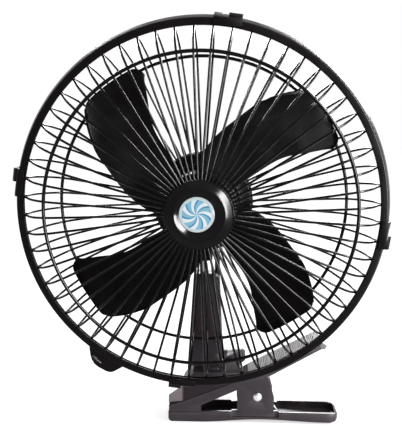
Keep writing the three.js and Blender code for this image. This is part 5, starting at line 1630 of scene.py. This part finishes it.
@dataclass
class Studio:
    """Camera, lamps, pale surroundings and floor."""

    camera_place: tuple[float, float, float] = (0.0326, -0.4423, 0.2255)
    camera_aim: tuple[float, float, float] = (0.01529, -0.052, 0.16065)
    lens: float = 52.78
    sensor: float = 36.0
    fill: float = 0.5
    floor_glow: float = 0.62
    floor_shade: tuple[float, float, float, float] = (0.82, 0.82, 0.82, 1.0)
    floor_roughness: float = 0.9
    floor_half: float = 4.0
    floor_gap: float = 0.2 * MM
    nearest: float = 0.01
    lamps: tuple[SoftLamp, ...] = (
        SoftLamp("key", (0.75, -0.28, 0.6), (0.22, 0.6), 5.0),
        SoftLamp("side", (-0.62, -0.78, 0.1), (0.3, 0.4), 1.6, Light.FILL),
        SoftLamp("top", (0.05, 0.1, 1.0), (0.4, 0.4), 1.8, Light.FILL),
        SoftLamp("gleam_right", (0.75, -0.68, 0.31), (0.24, 0.93), 115.0, Light.GLEAM),
        SoftLamp("gleam_back", (0.1, 0.75, 0.46), (0.9, 0.25), 15.0, Light.GLEAM),
    )

    def build_camera(self) -> None:
        """Sets the camera at the photograph's viewing angle."""
        data = bpy.data.cameras.new("camera")
        data.lens = self.lens
        data.sensor_width = self.sensor
        data.sensor_fit = "HORIZONTAL"
        data.clip_start = self.nearest
        camera = bpy.data.objects.new("camera", data)
        camera.location = self.camera_place
        aim = Vector(self.camera_aim) - Vector(self.camera_place)
        camera.rotation_euler = aim.to_track_quat("-Z", "Y").to_euler()
        bpy.context.scene.collection.objects.link(camera)
        bpy.context.scene.camera = camera

    def seen_plainly(self, board: NodeBoard) -> bpy.types.NodeSocket:
        """Adds a share that is 1 for what the eye, a mirror or a window sees.

        Args:
            board: the board of the floor's or the world's nodes.

        Returns:
            The share's socket.
        """
        path = board.add("ShaderNodeLightPath")
        seen = board.math("ADD", path.outputs["Is Camera Ray"], path.outputs["Is Glossy Ray"])
        return board.math("ADD", seen, path.outputs["Is Transmission Ray"], clamp=True)

    def build_world(self) -> None:
        """White where it is seen, and a plain fill light elsewhere."""
        world = bpy.data.worlds.new("surroundings")
        world.use_nodes = True
        board = NodeBoard(world.node_tree)
        backdrop = world.node_tree.nodes["Background"]
        backdrop.inputs["Color"].default_value = (1, 1, 1, 1)
        share = self.seen_plainly(board)
        lift = board.math("MULTIPLY_ADD", share, 1.0 - self.fill, self.fill)
        board.join(lift, backdrop.inputs["Strength"])
        bpy.context.scene.world = world

    def build_floor(self) -> None:
        """A pale floor just under the clamp."""
        low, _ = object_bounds()
        bm = bmesh.new()
        bmesh.ops.create_grid(bm, x_segments=1, y_segments=1, size=self.floor_half)
        bmesh.ops.translate(bm, verts=bm.verts, vec=(HUB.x, HUB.y, low[2] - self.floor_gap))
        mesh = bpy.data.meshes.new("floor")
        bm.to_mesh(mesh)
        bm.free()
        floor = bpy.data.objects.new("floor", mesh)
        bpy.context.scene.collection.objects.link(floor)
        material = bpy.data.materials.new("pale_floor")
        material.use_nodes = True
        board = NodeBoard(material.node_tree)
        shader = material.node_tree.nodes["Principled BSDF"]
        shader.inputs["Base Color"].default_value = self.floor_shade
        shader.inputs["Roughness"].default_value = self.floor_roughness
        shader.inputs["Specular IOR Level"].default_value = 0.0
        shader.inputs["Emission Color"].default_value = (1, 1, 1, 1)
        share = self.seen_plainly(board)
        board.join(board.math("MULTIPLY", share, self.floor_glow), shader.inputs["Emission Strength"])
        mesh.materials.append(material)
        floor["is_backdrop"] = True

    def build(self) -> None:
        """Builds the studio."""
        bpy.context.scene.view_settings.view_transform = "Standard"
        self.build_camera()
        self.build_world()
        self.build_floor()
        for lamp in self.lamps:
            lamp.build(Vector(self.camera_aim))


def front_guard() -> Guard:
    """Works out the front guard from the hoop.

    Returns:
        The guard, with stations at the cap, middle ring, shoulder, lip and edge.
    """
    rim = Rim()
    middle = rim.front_radius - 22.3 * MM
    edge = (rim.groove_at(-1.7 * MM) - 1.35 * MM, -0.85 * MM)
    stations = (
        (15.5 * MM, -20.8 * MM),
        (middle, -17.5 * MM),
        (rim.front_radius - 11.8 * MM, -13.0 * MM),
        (rim.front_radius - 5.4 * MM, -3.2 * MM),
        edge,
    )
    bends = (0.0, 6.0 * MM, 7.0 * MM, 2.0 * MM, 0.0)
    return Guard(Side.FRONT, stations, bends, ((middle + 1.0 * MM, -17.4 * MM), edge))


def rear_guard() -> Guard:
    """Works out the rear guard from the hoop.

    Returns:
        The guard, with stations at the housing, middle ring, shoulder, side, lip and edge.
    """
    rim = Rim()
    rear = rim.front_radius + rim.flare
    middle = rear - 23.7 * MM
    edge = rim.groove_at(0.3 * MM) - 1.15 * MM
    stations = (
        (29.5 * MM, 38.15 * MM),
        (middle, 33.6 * MM),
        (rear - 13.8 * MM, 24.6 * MM),
        (rear - 7.9 * MM, 13.0 * MM),
        (rear - rim.rear_lip_reach - 0.9 * MM, 4.2 * MM),
        (edge, 1.4 * MM),
    )
    bends = (0.0, 6.0 * MM, 8.0 * MM, 4.0 * MM, 1.2 * MM, 0.0)
    ring_places = ((middle + 1.0 * MM, 33.5 * MM), (edge, 1.3 * MM))
    return Guard(Side.REAR, stations, bends, ring_places)


def main() -> None:
    """Builds the studio and every sub-assembly in order."""
    logging.basicConfig(level=logging.INFO, format="%(name)s: %(message)s")
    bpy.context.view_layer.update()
    assemblies = (
        Studio(),
        front_guard(),
        rear_guard(),
        Rim(),
        Cap(),
        Impeller(),
        Motor(),
        SwingGear(),
        Neck(),
        Clamp(),
    )
    for assembly in assemblies:
        assembly.build()
        log.info("%s done", type(assembly).__name__)


if __name__ == "__main__":
    main()
